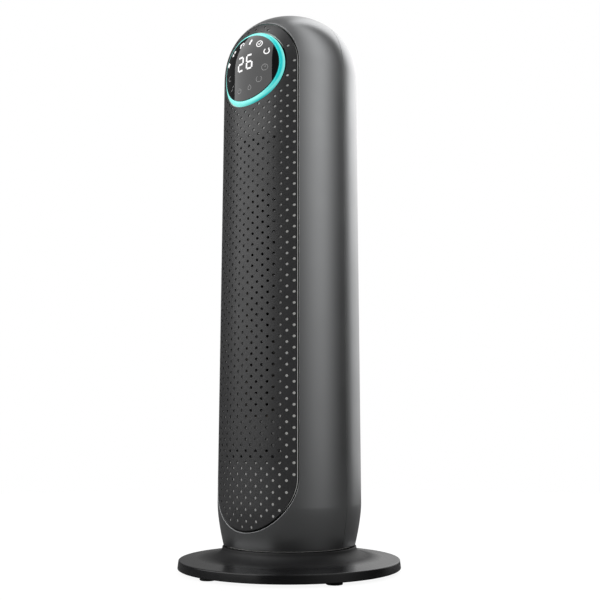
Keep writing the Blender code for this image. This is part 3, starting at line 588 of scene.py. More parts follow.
SLOT_FINISH = {
    "gunmetal": metallic_paint("gunmetal_paint", (0.335, 0.340, 0.345), 0.30),
    "grille_grey": moulded("panel_grey", (0.040, 0.040, 0.041), 0.42, 1500.0, 0.00002),
    "base_black": foot_black("base_black"),
    "black_plastic": moulded("black_plastic", (0.016, 0.016, 0.017), 0.5),
    "rocker_black": moulded("rocker_black", (0.010, 0.010, 0.011), 0.18),
    "natural_white": moulded("natural_white", (0.72, 0.72, 0.70), 0.5),
    "soft_black": moulded("soft_black", (0.010, 0.010, 0.010), 0.8, 600.0, 0.00008),
    "zinc_plate": brushed_metal("zinc_plate", (0.50, 0.51, 0.52), 0.42, (1.0, 12.0, 1.0), 60.0),
    "ballast_iron": cast_metal("ballast_iron", (0.09, 0.09, 0.09), 0.6),
    "steel": brushed_metal("plain_steel", (0.54, 0.55, 0.56), 0.32),
    "fin_aluminium": brushed_metal("fin_aluminium", (0.70, 0.71, 0.72), 0.36, (30.0, 1.0, 1.0)),
    "ptc_ceramic": fired_ceramic("ptc_ceramic", (0.64, 0.60, 0.52)),
    "bush_bronze": cast_metal("sintered_bronze", (0.58, 0.41, 0.19), 0.4),
    "board_green": circuit_board("board_green"),
    "filter_mesh": woven_mesh("filter_mesh", (0.06, 0.06, 0.065)),
    "display_black": display_glass("display_black"),
    "ring_cyan": lit_ring("ring_cyan"),
}
# The carrier and the duct behind the panel's holes glow with painted light; neither is a lamp.
OWN_FINISH = {
    "grille_carrier": painted_glow_plastic("carrier_white_painted_light", (0.72, 0.72, 0.70), 0.34),
    "outlet_duct": painted_glow_plastic("duct_grey_painted_light", (0.30, 0.30, 0.30), 0.16),
}
BRIGHT_MARK = lit_mark("mark_bright", 1.0)
DIM_MARK = lit_mark("mark_dim", 0.17, (0.9, 0.9, 0.9))


def dress(made, slot, finish=None):
    made.data.materials.clear()
    made.data.materials.append(finish or SLOT_FINISH[slot])


# ------------------------ housing
SHELL_EDGE = 0.0003
OPENING_EXTRA = 0.0007  # how much wider than the CAD's the front opening is, for the shadow gap
INTAKE_SPAN = (INTAKE_HIGH[0] + 0.0006, INTAKE_LOW[2] - 0.0006, INTAKE_HIGH[2] + 0.0006)
HANDLE_SPAN = (HANDLE_HIGH[0] + 0.0004, HANDLE_LOW[2] - 0.0004, HANDLE_HIGH[2] + 0.0004)
SWITCH_LAP = 0.0012  # how far the switch's flange laps over the housing
SWITCH_HALF = 0.5 * (SWITCH_HIGH[0] - SWITCH_LOW[0])
SWITCH_SPAN = (SWITCH_HALF - SWITCH_LAP, SWITCH_LOW[2] + SWITCH_LAP, SWITCH_HIGH[2] - SWITCH_LAP)
LARGE_CORNER = 0.012
SMALL_CORNER = 0.0015
CUT_DEPTH = 0.02  # openings cut only what lies further than this from the tower's middle plane
HOUSING_SEGMENTS = 200
DOME_STEPS = 44

SCREW_HEIGHTS = (0.130, 0.470)
SCREW_PLACES = [(side * 0.062, height) for height in SCREW_HEIGHTS for side in (-1, 1)]
SCREW_SEAT = 0.0042  # y of the faces the screw heads rest on
WELL_RADIUS = 0.0037
WELL_WALL = 0.0010
WELL_SEGMENTS = 24

TUCK_ROWS = spaced(BODY_BOTTOM + SHELL_EDGE, TUCK_TOP, 0.0025)
FRONT_ROWS = merged_rows(
    TUCK_ROWS,
    spaced(TUCK_TOP, 0.106, 0.0025),
    spaced(0.106, 0.546, 0.022),
    spaced(0.546, DOME_START, 0.003),
)
BACK_ROWS = merged_rows(
    TUCK_ROWS,
    spaced(TUCK_TOP, 0.090, 0.006),
    spaced(0.200, 0.400, 0.025),
    [0.150, 0.162, 0.440, 0.452, 0.486, DOME_START],
    spaced(SWITCH_LOW[2] - 0.002, SWITCH_HIGH[2] + 0.002, 0.0015),
    spaced(INTAKE_LOW[2] - 0.002, INTAKE_LOW[2] + 0.014, 0.002),
    spaced(INTAKE_HIGH[2] - 0.014, INTAKE_HIGH[2] + 0.002, 0.002),
    spaced(HANDLE_LOW[2] - 0.002, HANDLE_HIGH[2] + 0.002, 0.002),
    *[spaced(height - 0.006, height + 0.006, 0.0012) for height in SCREW_HEIGHTS],
)


def round_sheet(heights):
    """The whole tower's surface from the bottom edge to the apex."""
    rings = [(body_radius(height), height) for height in heights]
    for step in range(1, DOME_STEPS):
        angle = 0.5 * math.pi * step / DOME_STEPS
        rise = DOME_HEIGHT * math.sin(angle) ** (2 / DOME_POWER)
        rings.append((BODY_RADIUS * math.cos(angle) ** (2 / DOME_POWER), DOME_START + rise))
    points, faces = [], []
    for radius, height in rings:
        points += [(y, -x, height) for x, y in circle_points(radius, HOUSING_SEGMENTS)]
    points.append((0.0, 0.0, BODY_TOP))
    last = (len(rings) - 1) * HOUSING_SEGMENTS
    for low in range(0, last, HOUSING_SEGMENTS):
        faces += band(low, low + HOUSING_SEGMENTS, HOUSING_SEGMENTS)
    for step in range(HOUSING_SEGMENTS):
        faces.append((last + step, last + (step + 1) % HOUSING_SEGMENTS, len(points) - 1))
    return np.array(points), faces


def front_keep(points):
    x, y, z = points.T
    seam = SEAM_Y - SEAM_HALF_GAP - SHELL_EDGE - y
    half_width = PANEL_HALF_WIDTH + PANEL_GAP + SHELL_EDGE + OPENING_EXTRA
    opening = from_slot(x, z, half_width, PANEL_ROUND_LOW, PANEL_ROUND_HIGH)
    return np.minimum(seam, np.where(y < -CUT_DEPTH, opening, 1.0))


def back_keep(points):
    x, y, z = points.T
    seam = y - SEAM_Y - SEAM_HALF_GAP - SHELL_EDGE
    openings = [
        from_rectangle(x, z, *INTAKE_SPAN, LARGE_CORNER) - SHELL_EDGE,
        from_rectangle(x, z, *HANDLE_SPAN, LARGE_CORNER) - SHELL_EDGE,
        from_rectangle(x, z, *SWITCH_SPAN, SMALL_CORNER) - SHELL_EDGE,
    ]
    for centre_x, centre_z in SCREW_PLACES:
        openings.append(from_circle(x, z, centre_x, centre_z, WELL_RADIUS + SHELL_EDGE))
    opening = np.min(openings, axis=0)
    return np.minimum(seam, np.where(y > CUT_DEPTH, opening, 1.0))


def build_shell(name, rows, keep, replaced):
    sheet = clipped(*round_sheet(rows), keep, settled_round)
    shell = solid_sheet(name, *sheet, "tower", SHELL_WALL, SHELL_EDGE)
    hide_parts(replaced)
    dress(shell, "gunmetal")


def build_housing():
    build_shell("front_housing", FRONT_ROWS, front_keep, "front_shell")
    build_shell("rear_housing", BACK_ROWS, back_keep, "rear_shell")
    for number, (x, z) in enumerate(SCREW_PLACES):
        build_well(f"screw_well_{number + 1}", x, z)


def build_well(name, centre_x, centre_z):
    """Moulded tube that leads from the back of the housing to a screw's seat."""
    outer = WELL_RADIUS + WELL_WALL
    rings = ((WELL_RADIUS, None), (WELL_RADIUS, 0.0012), (outer, 0.0022), (outer, None))
    points = []
    for radius, sunk in rings:
        for dx, dz in circle_points(radius, WELL_SEGMENTS):
            x = centre_x + dx
            surface = math.sqrt(BODY_RADIUS**2 - x**2)
            points.append((x, SCREW_SEAT if sunk is None else surface - sunk, centre_z + dz))
    faces = [face[::-1] for face in bands(len(rings), WELL_SEGMENTS)]
    well = piece(name, points, faces, "tower", smooth_angle=40)
    dress(well, "gunmetal")


# ------------------------ perforated front panel
PANEL_EDGE = 0.00035
PANEL_ROUND = 0.6 * PANEL_EDGE  # radius of the rounded edges
PANEL_SHORT = 0.0005  # how far the panel stops short of the CAD's outline, for the shadow gap
HOLE_SIDES = 12
TILE_REACH = 0.008  # tiles centred further than this outside the panel are left out
# Black sheet behind the gap round the panel: painted shade that makes the gap read dark.
GAP_SHADE_INSET = 0.0034
GAP_SHADE_SPAN = (-0.0014, 0.0022)  # inner and outer edge, from the panel's outline
GAP_SHADE_WALL = 0.0010
GAP_SHADE_STEP = 0.004


def panel_distance(x, z):
    """How far inside the panel's outline a point is."""
    inside = -from_slot(x, z, PANEL_HALF_WIDTH, PANEL_ROUND_LOW, PANEL_ROUND_HIGH) - PANEL_SHORT
    return np.minimum(inside, from_circle(x, z, 0.0, DISPLAY_HEIGHT, RING_OUTER + RING_CLEARANCE))


def panel_keep(points):
    return panel_distance(points[:, 0], points[:, 2]) - PANEL_EDGE


# Where the black sheet of painted shade behind the panel's gap lies.
def gap_shade_keep(points):
    away = from_slot(points[:, 0], points[:, 2], PANEL_HALF_WIDTH, PANEL_ROUND_LOW, PANEL_ROUND_HIGH)
    return np.minimum(away - GAP_SHADE_SPAN[0], GAP_SHADE_SPAN[1] - away)


def perforated_sheet():
    """Diamond tiles, each with a round hole in its middle, on the panel's staggered lattice."""
    points, faces, seen = [], [], {}

    def corner(x, z):
        key = (round(x * 1e6), round(z * 1e6))
        if key not in seen:
            seen[key] = len(points)
            points.append((x, z))
        return seen[key]

    diamond = []
    tips = ((HOLE_COLUMNS, 0.0), (0.0, HOLE_ROWS), (-HOLE_COLUMNS, 0.0), (0.0, -HOLE_ROWS))
    per_side = HOLE_SIDES // 4
    for start, stop in zip(tips, tips[1:] + tips[:1]):
        diamond += straight(start, stop, per_side)[:-1]
    for column in range(-11, 11):
        x = HOLE_MIDDLE[0] + column * HOLE_COLUMNS
        shift = HOLE_ROWS if column % 2 else 0.0
        for row in range(-3, 50):
            z = HOLE_MIDDLE[1] + shift - 2 * HOLE_ROWS * row
            inside = panel_distance(x, z)
            if inside < -TILE_REACH:
                continue
            outer = [corner(x + dx, z + dz) for dx, dz in diamond]
            ring = zip(outer, outer[1:] + outer[:1])
            if inside > HOLE_MARGIN:
                rim = []
                for dx, dz in diamond:
                    share = (HOLE_RADIUS + PANEL_ROUND) / math.hypot(dx, dz)
                    rim.append(corner(x + share * dx, z + share * dz))
                for (near, far), start, stop in zip(ring, rim, rim[1:] + rim[:1]):
                    faces.append((near, far, stop, start))
            else:
                middle = corner(x, z)
                faces += [(near, far, middle) for near, far in ring]
    flat = np.array(points)
    return seen_flat(flat[:, 0], flat[:, 1], -1, PANEL_INSET), faces


def build_panel():
    sheet = clipped(*perforated_sheet(), panel_keep, settled_front(PANEL_INSET))
    panel = solid_sheet("perforated_panel", *sheet, "tower", PANEL_WALL, PANEL_ROUND, TOWARDS_BACK, 2)
    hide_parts("front_grille")
    dress(panel, "grille_grey")

    # Black sheet behind the gap round the panel, put there as painted shade for the gap.
    half = PANEL_HALF_WIDTH + GAP_SHADE_STEP
    columns = spaced(-half, half, GAP_SHADE_STEP)
    rows = spaced(PANEL_LOW[2] - GAP_SHADE_STEP, PANEL_HIGH[2] + GAP_SHADE_STEP, GAP_SHADE_STEP)
    points, faces = grid(columns, rows)
    settle = settled_front(GAP_SHADE_INSET)
    sheet = clipped(settle(points), faces, gap_shade_keep, settle)
    gap_shade = solid_sheet("gap_shade_sheet", *sheet, "tower", GAP_SHADE_WALL, 0.0, TOWARDS_BACK)
    dress(gap_shade, "soft_black")


# ------------------------ display
# Ring's section: share of its width from the inner side, and depth below the lens's face.
RING_SECTION = (
    (0.0, 0.0040), (0.0, 0.0009), (0.06, 0.0007), (0.24, 0.0006), (0.44, 0.0008), (0.62, 0.0012),
    (0.78, 0.0017), (0.92, 0.0024), (1.0, 0.0031), (1.0, 0.0040),
)
RING_SEGMENTS = 144
LENS_SEGMENTS = 120
LENS_RINGS = 16


def on_display(x, z, lift):
    """Points that stand lift above the lens's face. x and z are from the display's centre."""
    points = seen_flat(np.array(x, float), np.array(z, float) + DISPLAY_HEIGHT, -1, -LENS_PROUD)
    return points + surface_normals(points) * np.array(lift, float)[:, None]


def build_ring():
    width = RING_OUTER - RING_INNER
    section = [(RING_INNER + share * width, -drop) for share, drop in RING_SECTION]
    points = []
    for step in range(RING_SEGMENTS):
        angle = 2 * math.pi * step / RING_SEGMENTS
        x = [radius * math.cos(angle) for radius, _ in section]
        z = [radius * math.sin(angle) for radius, _ in section]
        points += list(on_display(x, z, [lift for _, lift in section]))
    faces = bands(RING_SEGMENTS, len(section))
    ring = piece("lit_ring", points, faces, "tower", smooth_angle=50)
    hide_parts("light_ring")
    dress(ring, "ring_cyan")


def build_lens():
    points = [(0.0, 0.0)]
    for ring in range(1, LENS_RINGS + 1):
        points += circle_points((LENS_RADIUS - LENS_EDGE) * ring / LENS_RINGS, LENS_SEGMENTS)
    faces = [(0, 1 + step, 1 + (step + 1) % LENS_SEGMENTS) for step in range(LENS_SEGMENTS)]
    for ring in range(LENS_RINGS - 1):
        low = 1 + ring * LENS_SEGMENTS
        faces += band(low + LENS_SEGMENTS, low, LENS_SEGMENTS)
    flat = np.array(points)
    curved = on_display(flat[:, 0], flat[:, 1], np.zeros(len(flat)))
    lens = solid_sheet("display_face", curved, faces, "tower", LENS_WALL, LENS_EDGE)
    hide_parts("display_lens")
    dress(lens, "display_black")


MARK_LIFT = 0.00008


def stroke_strip(path, width, closed=False):
    """Flat strip of that width along a path of (x, z) points, as (points, faces)."""
    path = np.array(path, float)
    count = len(path)
    before = np.roll(path, 1, axis=0)
    after = np.roll(path, -1, axis=0)
    if not closed:
        before[0] = path[0]
        after[-1] = path[-1]
    along = after - before
    along /= np.maximum(np.linalg.norm(along, axis=1, keepdims=True), 1e-9)
    aside = np.stack([-along[:, 1], along[:, 0]], axis=-1) * 0.5 * width
    points = np.concatenate([path - aside, path + aside])
    faces = []
    for step in range(count if closed else count - 1):
        beside = (step + 1) % count
        faces.append((step, beside, count + beside, count + step))
    return points, faces


def arc(radius, start, stop, steps=14, centre=(0.0, 0.0)):
    path = []
    for step in range(steps + 1):
        angle = math.radians(start + (stop - start) * step / steps)
        path.append((centre[0] + radius * math.cos(angle), centre[1] + radius * math.sin(angle)))
    return path


def straight(start, stop, steps=4):
    dx, dz = stop[0] - start[0], stop[1] - start[1]
    return [(start[0] + dx * k / steps, start[1] + dz * k / steps) for k in range(steps + 1)]


def line(start, stop, width):
    return stroke_strip(straight(start, stop), width)


def build_mark(name, strips, centre, finish, lean=0.0):
    """Thin lit shape just above the lens. strips are flat (points, faces) pairs around its centre."""
    flat, faces = [], []
    for points, strip_faces in strips:
        start = len(flat)
        for x, z in points:
            flat.append((centre[0] + x + lean * z, centre[1] + z))
        faces += [tuple(start + corner for corner in face) for face in strip_faces]
    flat = np.array(flat)
    count = len(flat)
    front = on_display(flat[:, 0], flat[:, 1], np.full(count, MARK_LIFT))
    back = on_display(flat[:, 0], flat[:, 1], np.full(count, -0.5 * MARK_LIFT))
    directed = edges_of(faces)
    closed = list(faces) + [tuple(count + corner for corner in reversed(face)) for face in faces]
    for a, b in sorted(directed):
        if (b, a) not in directed:
            closed.append((b, a, count + a, count + b))
    mark = piece(name, np.concatenate([front, back]), closed, "tower", smooth_angle=30)
    dress(mark, "display_black", finish)


def digit_strips(segments, width, height, stroke):
    """Seven-segment digit. segments are letters a to g."""
    half_w, half_h = 0.5 * width, 0.5 * height
    inset = 0.35 * stroke
    ends = {
        "a": ((-half_w, half_h), (half_w, half_h)),
        "b": ((half_w, half_h), (half_w, 0.0)),
        "c": ((half_w, 0.0), (half_w, -half_h)),
        "d": ((-half_w, -half_h), (half_w, -half_h)),
        "e": ((-half_w, 0.0), (-half_w, -half_h)),
        "f": ((-half_w, half_h), (-half_w, 0.0)),
        "g": ((-half_w, 0.0), (half_w, 0.0)),
    }
    strips = []
    for letter in segments:
        (x0, z0), (x1, z1) = ends[letter]
        if z0 == z1:
            x0, x1 = x0 + inset, x1 - inset
        else:
            z0, z1 = z0 - inset, z1 + inset
        strips.append(line((x0, z0), (x1, z1), stroke))
    return strips


def build_marks():
    """Two digits and two rows of icons. Icons are (name, x and z of the centre in mm, strips)."""
    for name, segments, x in (("digit_tens", "abged", -0.0088), ("digit_ones", "acdefg", 0.0041)):
        strips = digit_strips(segments, 0.0074, 0.0160, 0.0021)
        build_mark(name, strips, (x, 0.0058), BRIGHT_MARK, lean=0.02)

    thin, fine = 0.0010, 0.0007
    tick = stroke_strip([(-0.0018, 0.0004), (-0.0002, -0.0010), (0.0018, 0.0014)], thin)
    dial = stroke_strip(arc(0.0036, 0, 350, 28), thin, closed=True)
    turning = stroke_strip(arc(0.0031, 118, 412, 20), 0.0012)
    diamond = ([(0.0, -0.0034), (0.0034, 0.0), (0.0, 0.0034), (-0.0034, 0.0)], [(0, 1, 2, 3)])
    bright = (
        ("icon_timer", 16.6, 24.9, [dial, tick]),
        ("icon_swing", 26.1, 13.7, [turning, line((0.0018, 0.0030), (0.0030, 0.0034), thin)]),
        ("icon_level_one", 3.9, 30.4, [
            line((-0.0010, -0.0030), (-0.0004, 0.0002), 0.0024),
            line((0.0004, 0.0000), (0.0012, 0.0030), 0.0024),
        ]),
        ("icon_level_two", -9.8, 30.0, [
            line((-0.0016, -0.0028), (-0.0016, 0.0024), 0.0016),
            stroke_strip(arc(0.0019, -70, 200, 12, (0.0016, 0.0010)), 0.0011),
        ]),
        ("icon_level_three", -22.9, 24.4, [
            line((-0.0018, -0.0028), (-0.0010, 0.0000), 0.0026),
            line((0.0012, 0.0004), (0.0020, 0.0032), 0.0026),
        ]),
        ("icon_heat", -32.8, 14.0, [diamond]),
    )
    dim = (
        ("touch_timer", 24.2, -5.4, [
            stroke_strip(arc(0.0036, 0, 350, 28), fine, closed=True),
            line((0.0, 0.0), (0.0014, 0.0016), fine),
        ]),
        ("touch_swing", 17.2, -18.2, [stroke_strip(arc(0.0034, 118, 412, 20), fine)]),
        ("touch_drop", 5.0, -26.2, [
            stroke_strip(arc(0.0022, -210, 30, 14) + [(0.0, 0.0040)], fine, closed=True),
        ]),
        ("touch_power", -10.5, -26.2, [
            stroke_strip(arc(0.0028, 125, 415, 18), fine),
            line((0.0, 0.0008), (0.0, 0.0036), fine),
        ]),
        ("touch_less", -23.5, -18.6, [
            line((-0.0030, -0.0024), (0.0004, -0.0010), fine),
            line((-0.0006, 0.0010), (0.0026, 0.0028), fine),
        ]),
        ("touch_more", -29.4, -4.4, [stroke_strip(arc(0.0028, 60, 300, 14), fine)]),
    )
    for finish, row in ((BRIGHT_MARK, bright), (DIM_MARK, dim)):
        for name, x, z, strips in row:
            build_mark(name, strips, (0.001 * x, 0.001 * z), finish)


# ------------------------ base
BASE_WALL = 0.0024
SHOULDER_HEIGHT = 0.0108  # where the rim's upper round starts
SHOULDER_WIDTH, SHOULDER_RISE = 0.00135, 0.0014
PLATE_RADIUS = BASE_RADIUS - 0.0021
PLATE_HEIGHT = SHOULDER_HEIGHT + SHOULDER_RISE
PLATE_RISE = 0.0033
PLATE_POWER = 1.15
FLARE_RADIUS = 0.0900  # where the plate turns up to the collar
FLARE_WIDTH, FLARE_RISE = 0.0160, 0.0095
FLARE_TOP = 0.0250
COLLAR_EDGE = 0.0004
COLLAR_WALL = 0.0025
LIP_RADIUS = 0.0600
NOTCH_HALF_WIDTH, NOTCH_TOP = 0.0058, 0.0117
NOTCH_SPAN = (0.1100, 0.1300)


def dish_section():
    """(radius, height) of the foot: up the rim, over the top to the collar, and back underneath."""
    section = [
        (BASE_RADIUS - BASE_WALL, RIM_HEIGHT),
        (BASE_RADIUS - 0.0006, RIM_HEIGHT),
        (BASE_RADIUS - 0.00025, RIM_HEIGHT + 0.0002),
        (BASE_RADIUS, RIM_HEIGHT + 0.0006),
        (BASE_RADIUS - 0.00075, SHOULDER_HEIGHT),
    ]
    for step in range(1, 6):
        turn = math.radians(90 * step / 5)
        radius = PLATE_RADIUS + SHOULDER_WIDTH * math.cos(turn)
        section.append((radius, SHOULDER_HEIGHT + SHOULDER_RISE * math.sin(turn)))
    for step in range(1, 9):
        share = step / 8
        radius = PLATE_RADIUS - (PLATE_RADIUS - FLARE_RADIUS) * share
        section.append((radius, PLATE_HEIGHT + PLATE_RISE * share**PLATE_POWER))
    for step in range(1, 13):
        turn = math.radians(90 * (1 - step / 12))
        radius = FLARE_RADIUS - FLARE_WIDTH * math.cos(turn)
        section.append((radius, FLARE_TOP - FLARE_RISE * math.sin(turn)))
    section += [
        (0.0738, COLLAR_TOP - COLLAR_EDGE),
        (0.0734, COLLAR_TOP),
        (LIP_RADIUS, COLLAR_TOP),
        (LIP_RADIUS, COLLAR_TOP - COLLAR_WALL),
        (0.0716, COLLAR_TOP - COLLAR_WALL),
        (0.0724, 0.0195),
        (0.0775, 0.0150),
        (0.0880, 0.0131),
        (BASE_RADIUS - BASE_WALL - 0.0020, 0.0094),
    ]
    return section


def cut_notch(cover):
    """Opening in the rim for the cord inlet."""
    notch = placed("inlet_notch", bpy.data.meshes.new("inlet_notch"))
    across = (-NOTCH_HALF_WIDTH, NOTCH_HALF_WIDTH)
    corners = [(x, y, z) for x in across for y in NOTCH_SPAN for z in (0.0, NOTCH_TOP)]
    sides = [(0, 1, 3, 2), (4, 6, 7, 5), (0, 4, 5, 1), (2, 3, 7, 6), (0, 2, 6, 4), (1, 5, 7, 3)]
    notch.data.from_pydata(corners, [], sides)
    boolean = cover.modifiers.new("inlet", "BOOLEAN")
    boolean.operation = "DIFFERENCE"
    boolean.solver = "EXACT"
    boolean.object = notch
    depsgraph = bpy.context.evaluated_depsgraph_get()
    cut = bpy.data.meshes.new_from_object(cover.evaluated_get(depsgraph))
    cover.modifiers.clear()
    cover.data = cut
    bpy.data.objects.remove(notch, do_unlink=True)


def build_base():
    cover = turned("base_dish", dish_section(), "base", 160)
    cut_notch(cover)
    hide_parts("base_cover")
    dress(cover, "base_black")


# ------------------------ back of the tower
LOUVRE_PITCH = 0.0080
LOUVRE_GAP = 0.0040
LOUVRE_MARGIN = 0.018  # height without slots, both ends together
SLOT_ENDS = (0.0015, 0.037)  # distance of the slots' ends from the middle, either side
LOUVRE_CORNER = 0.0114
LOUVRE_EDGE = 0.0004
LOUVRE_WALL = 0.0022
LOUVRE_INSET = 0.0006
SPINE_BACK = 0.0775
SPINE_HALF = 0.0014
SPINE_NOTCH = 0.0030
SPINE_MARGIN = 0.006


def louvre_keep(points):
    span = (INTAKE_HIGH[0], INTAKE_LOW[2], INTAKE_HIGH[2])
    return -from_rectangle(points[:, 0], points[:, 2], *span, LOUVRE_CORNER) - LOUVRE_EDGE


def louvre_columns():
    """Even columns with the slots' ends among them, and none crowding an end."""
    half = INTAKE_HIGH[0]
    ends = [side * end for side in (-1, 1) for end in SLOT_ENDS]
    columns = []
    for x in merged_rows(spaced(-half, half, 0.0022), ends):
        nearest = min(abs(x - end) for end in ends)
        if nearest < 1e-6 or nearest > 6e-4:
            columns.append(x)
    return columns


def build_intake():
    low, high = INTAKE_LOW[2], INTAKE_HIGH[2]
    count = int((high - low - LOUVRE_MARGIN) / LOUVRE_PITCH)
    first = 0.5 * (low + high) - 0.5 * (count - 1) * LOUVRE_PITCH
    middles = [first + row * LOUVRE_PITCH for row in range(count)]
    slots = [(middle - 0.5 * LOUVRE_GAP, middle + 0.5 * LOUVRE_GAP) for middle in middles]
    slot_rows = [edge for slot in slots for edge in slot]
    corner_rows = (spaced(low, low + 0.012, 0.0015), spaced(high - 0.012, high, 0.0015))
    points, faces = grid(louvre_columns(), merged_rows(slot_rows, *corner_rows))
    kept = []
    for face in faces:
        x, _, z = sum(points[corner] for corner in face) / 4
        in_column = SLOT_ENDS[0] < abs(x) < SLOT_ENDS[1]
        if not (in_column and any(start < z < stop for start, stop in slots)):
            kept.append(face[::-1])
    settle = settled_back(LOUVRE_INSET)
    sheet = clipped(settle(points), kept, louvre_keep, settle)
    louvre = solid_sheet("intake_louvre", *sheet, "tower", LOUVRE_WALL, LOUVRE_EDGE, TOWARDS_FRONT, 2)
    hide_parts("intake_grille")
    dress(louvre, "grille_grey")
    build_spine(low + SPINE_MARGIN, high - SPINE_MARGIN)


def build_spine(low, high):
    """Upright rib between the louvre and the filter, notched at each end."""
    near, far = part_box("intake_filter")[1][1] + 0.0002, SPINE_BACK
    side = [(near, low), (far, low + SPINE_NOTCH), (far, high - SPINE_NOTCH), (near, high)]
    points = [(x, y, z) for x in (-SPINE_HALF, SPINE_HALF) for y, z in side]
    faces = [(0, 1, 2, 3), (7, 6, 5, 4), (0, 4, 5, 1), (1, 5, 6, 2), (2, 6, 7, 3), (3, 7, 4, 0)]
    spine = piece("intake_spine", points, faces, "tower", smooth_angle=30)
    dress(spine, "grille_grey")


# ------------------------ CAD pieces that stay
FOOT_COUNT = 5
EDGE_ROUNDS = {
    "switch_case": 0.0004,
    "power_rocker": 0.0005,
    "cord_inlet_bush": 0.0004,
    "handle_cup": 0.0006,
    **{f"base_foot_{number}": 0.0004 for number in range(1, FOOT_COUNT + 1)},
}


def soften_nodes():
    """Small edge rounds on the CAD pieces that stay."""
    for name, width in EDGE_ROUNDS.items():
        bevel = NODES[name].modifiers.new("edge_round", "BEVEL")
        bevel.width = width
        bevel.segments = 3
        bevel.limit_method = "ANGLE"
        bevel.angle_limit = math.radians(40)
        bevel.harden_normals = True


def dress_nodes():
    slots = {entry["node"]: entry["material_slot"] for entry in frame["record"]["subparts"]}
    for name, made in NODES.items():
        made.data.materials.clear()
        made.data.materials.append(OWN_FINISH.get(name, SLOT_FINISH[slots[name]]))


# ------------------------ studio
# Light from the room by azimuth: degrees from the front towards +X, and brightness.
ROOM_AROUND = (
    (-180, 1.9), (-158, 1.7), (-140, 0.5), (-120, 0.20), (-80, 0.16), (20, 0.12), (50, 0.30),
    (84, 1.15), (94, 1.15), (116, 0.45), (130, 0.10), (146, 0.10), (162, 1.9), (180, 1.9),
)
# Share of that light by the sine of the elevation.
ROOM_LIFT = ((-0.3, 0.12), (-0.05, 0.34), (0.18, 0.55), (0.42, 1.0), (0.9, 1.0))
# A soft box in front, towards -X: degrees and on or off, then brightness by height.
BOX_AROUND = ((-180, 0.0), (-69.4, 1.0), (5.7, 0.0), (180, 0.0))
BOX_LIFT = ((0.09, 0.0), (0.10, 0.62), (0.45, 0.75), (0.95, 1.0), (0.96, 0.0))
BOX_STRENGTH = (2.9, 2.9, 2.9)

FLOOR_RADIUS = 1.6
FLOOR_SEGMENTS = 96
FLOOR_HEIGHT = -0.0002
FLOOR_DARK = (0.08, 0.08, 0.08)  # what reflections see
FLOOR_GLOW = 0.92  # what the camera sees in its place

CAMERA_AZIMUTH = 37.91
CAMERA_DISTANCE = 0.9559
CAMERA_HEIGHT = 0.1362
CAMERA_PITCH = 9.795
CAMERA_YAW = 0.704


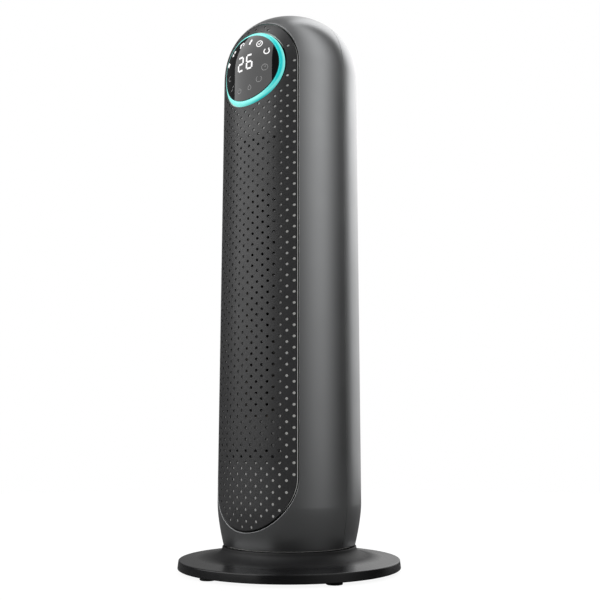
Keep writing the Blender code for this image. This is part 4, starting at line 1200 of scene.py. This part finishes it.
def build_world():
    """Graded studio for light and reflections. The camera itself sees plain white paper."""
    world = bpy.data.worlds.new("studio")
    bpy.context.scene.world = world
    world.use_nodes = True
    tree = world.node_tree
    nodes, links = tree.nodes, tree.links
    background = nodes["Background"]
    output = nodes["World Output"]

    coordinates = nodes.new("ShaderNodeTexCoord")
    separate = nodes.new("ShaderNodeSeparateXYZ")
    links.new(coordinates.outputs["Generated"], separate.inputs["Vector"])
    forwards = joined(tree, "ShaderNodeMath", "MULTIPLY", separate.outputs["Y"], -1.0)
    azimuth = joined(tree, "ShaderNodeMath", "ARCTAN2", separate.outputs["X"], forwards)

    def ramp(value, stops, interpolation="LINEAR"):
        start, stop = stops[0][0], stops[-1][0]
        ranged = nodes.new("ShaderNodeMapRange")
        ranged.inputs["From Min"].default_value = start
        ranged.inputs["From Max"].default_value = stop
        links.new(value, ranged.inputs["Value"])
        made = nodes.new("ShaderNodeValToRGB")
        made.color_ramp.interpolation = interpolation
        elements = made.color_ramp.elements
        while len(elements) > 1:
            elements.remove(elements[-1])
        for number, (place, grey) in enumerate(stops):
            share = (place - start) / (stop - start)
            element = elements[0] if number == 0 else elements.new(share)
            element.position = share
            element.color = (grey, grey, grey, 1.0)
        links.new(ranged.outputs["Result"], made.inputs["Fac"])
        return made.outputs["Color"]

    def combined(operation, first, second):
        return joined(tree, "ShaderNodeVectorMath", operation, first, second)

    def around(stops, interpolation="LINEAR"):
        return ramp(azimuth, [(math.radians(place), grey) for place, grey in stops], interpolation)

    room = combined("MULTIPLY", around(ROOM_AROUND), ramp(separate.outputs["Z"], ROOM_LIFT))
    box_lift = ramp(separate.outputs["Z"], BOX_LIFT)
    front_box = combined("MULTIPLY", around(BOX_AROUND, "CONSTANT"), box_lift)
    front_box = combined("MULTIPLY", front_box, BOX_STRENGTH)
    links.new(combined("ADD", room, front_box), background.inputs["Color"])

    paper = nodes.new("ShaderNodeBackground")
    paper.inputs["Color"].default_value = (1.0, 1.0, 1.0, 1.0)
    paper.inputs["Strength"].default_value = 1.0
    rays = nodes.new("ShaderNodeLightPath")
    mix = nodes.new("ShaderNodeMixShader")
    links.new(rays.outputs["Is Camera Ray"], mix.inputs["Fac"])
    links.new(background.outputs["Background"], mix.inputs[1])
    links.new(paper.outputs["Background"], mix.inputs[2])
    links.new(mix.outputs["Shader"], output.inputs["Surface"])


def build_floor():
    """Plain floor, white to the camera and dark to everything else, like the paper behind."""
    points = [(0.0, 0.0, FLOOR_HEIGHT)]
    points += [(x, y, FLOOR_HEIGHT) for x, y in circle_points(FLOOR_RADIUS, FLOOR_SEGMENTS)]
    faces = [(0, 1 + step, 1 + (step + 1) % FLOOR_SEGMENTS) for step in range(FLOOR_SEGMENTS)]
    mesh = bpy.data.meshes.new("floor")
    mesh.from_pydata(points, [], faces)
    floor = placed("floor", mesh)
    finish = Finish("studio_floor", FLOOR_DARK, 0.8)
    finish.tint(finish.noise(3.0, 2.0), 0.98, 1.02)
    seen = finish.node("ShaderNodeLightPath").outputs["Is Camera Ray"]
    glow = finish.ranged(seen, 0.0, FLOOR_GLOW, 0.0, 1.0)
    finish.set("Emission Color", (1.0, 1.0, 1.0, 1.0))
    finish.link(glow, finish.shader.inputs["Emission Strength"])
    floor.data.materials.append(finish.material)


def build_camera():
    """Low eye level, to the right of the front, looking slightly up."""
    azimuth = math.radians(CAMERA_AZIMUTH)
    pitch, yaw = math.radians(CAMERA_PITCH), math.radians(CAMERA_YAW)
    scene = bpy.context.scene
    data = bpy.data.cameras.new("camera")
    data.lens = 50.0
    data.sensor_width = 36.0
    data.clip_start = 0.01
    camera = placed("camera", data)
    across, along = CAMERA_DISTANCE * math.sin(azimuth), CAMERA_DISTANCE * math.cos(azimuth)
    camera.location = (across, -along, CAMERA_HEIGHT)
    camera.rotation_euler = (0.5 * math.pi + pitch, 0.0, azimuth - yaw)
    bpy.context.scene.camera = camera
    scene.view_settings.view_transform = "Standard"
    scene.view_settings.look = "None"


# ------------------------ assembly
build_camera()
build_world()
build_floor()
dress_nodes()
soften_nodes()
build_housing()
build_panel()
build_ring()
build_lens()
build_marks()
build_base()
build_intake()
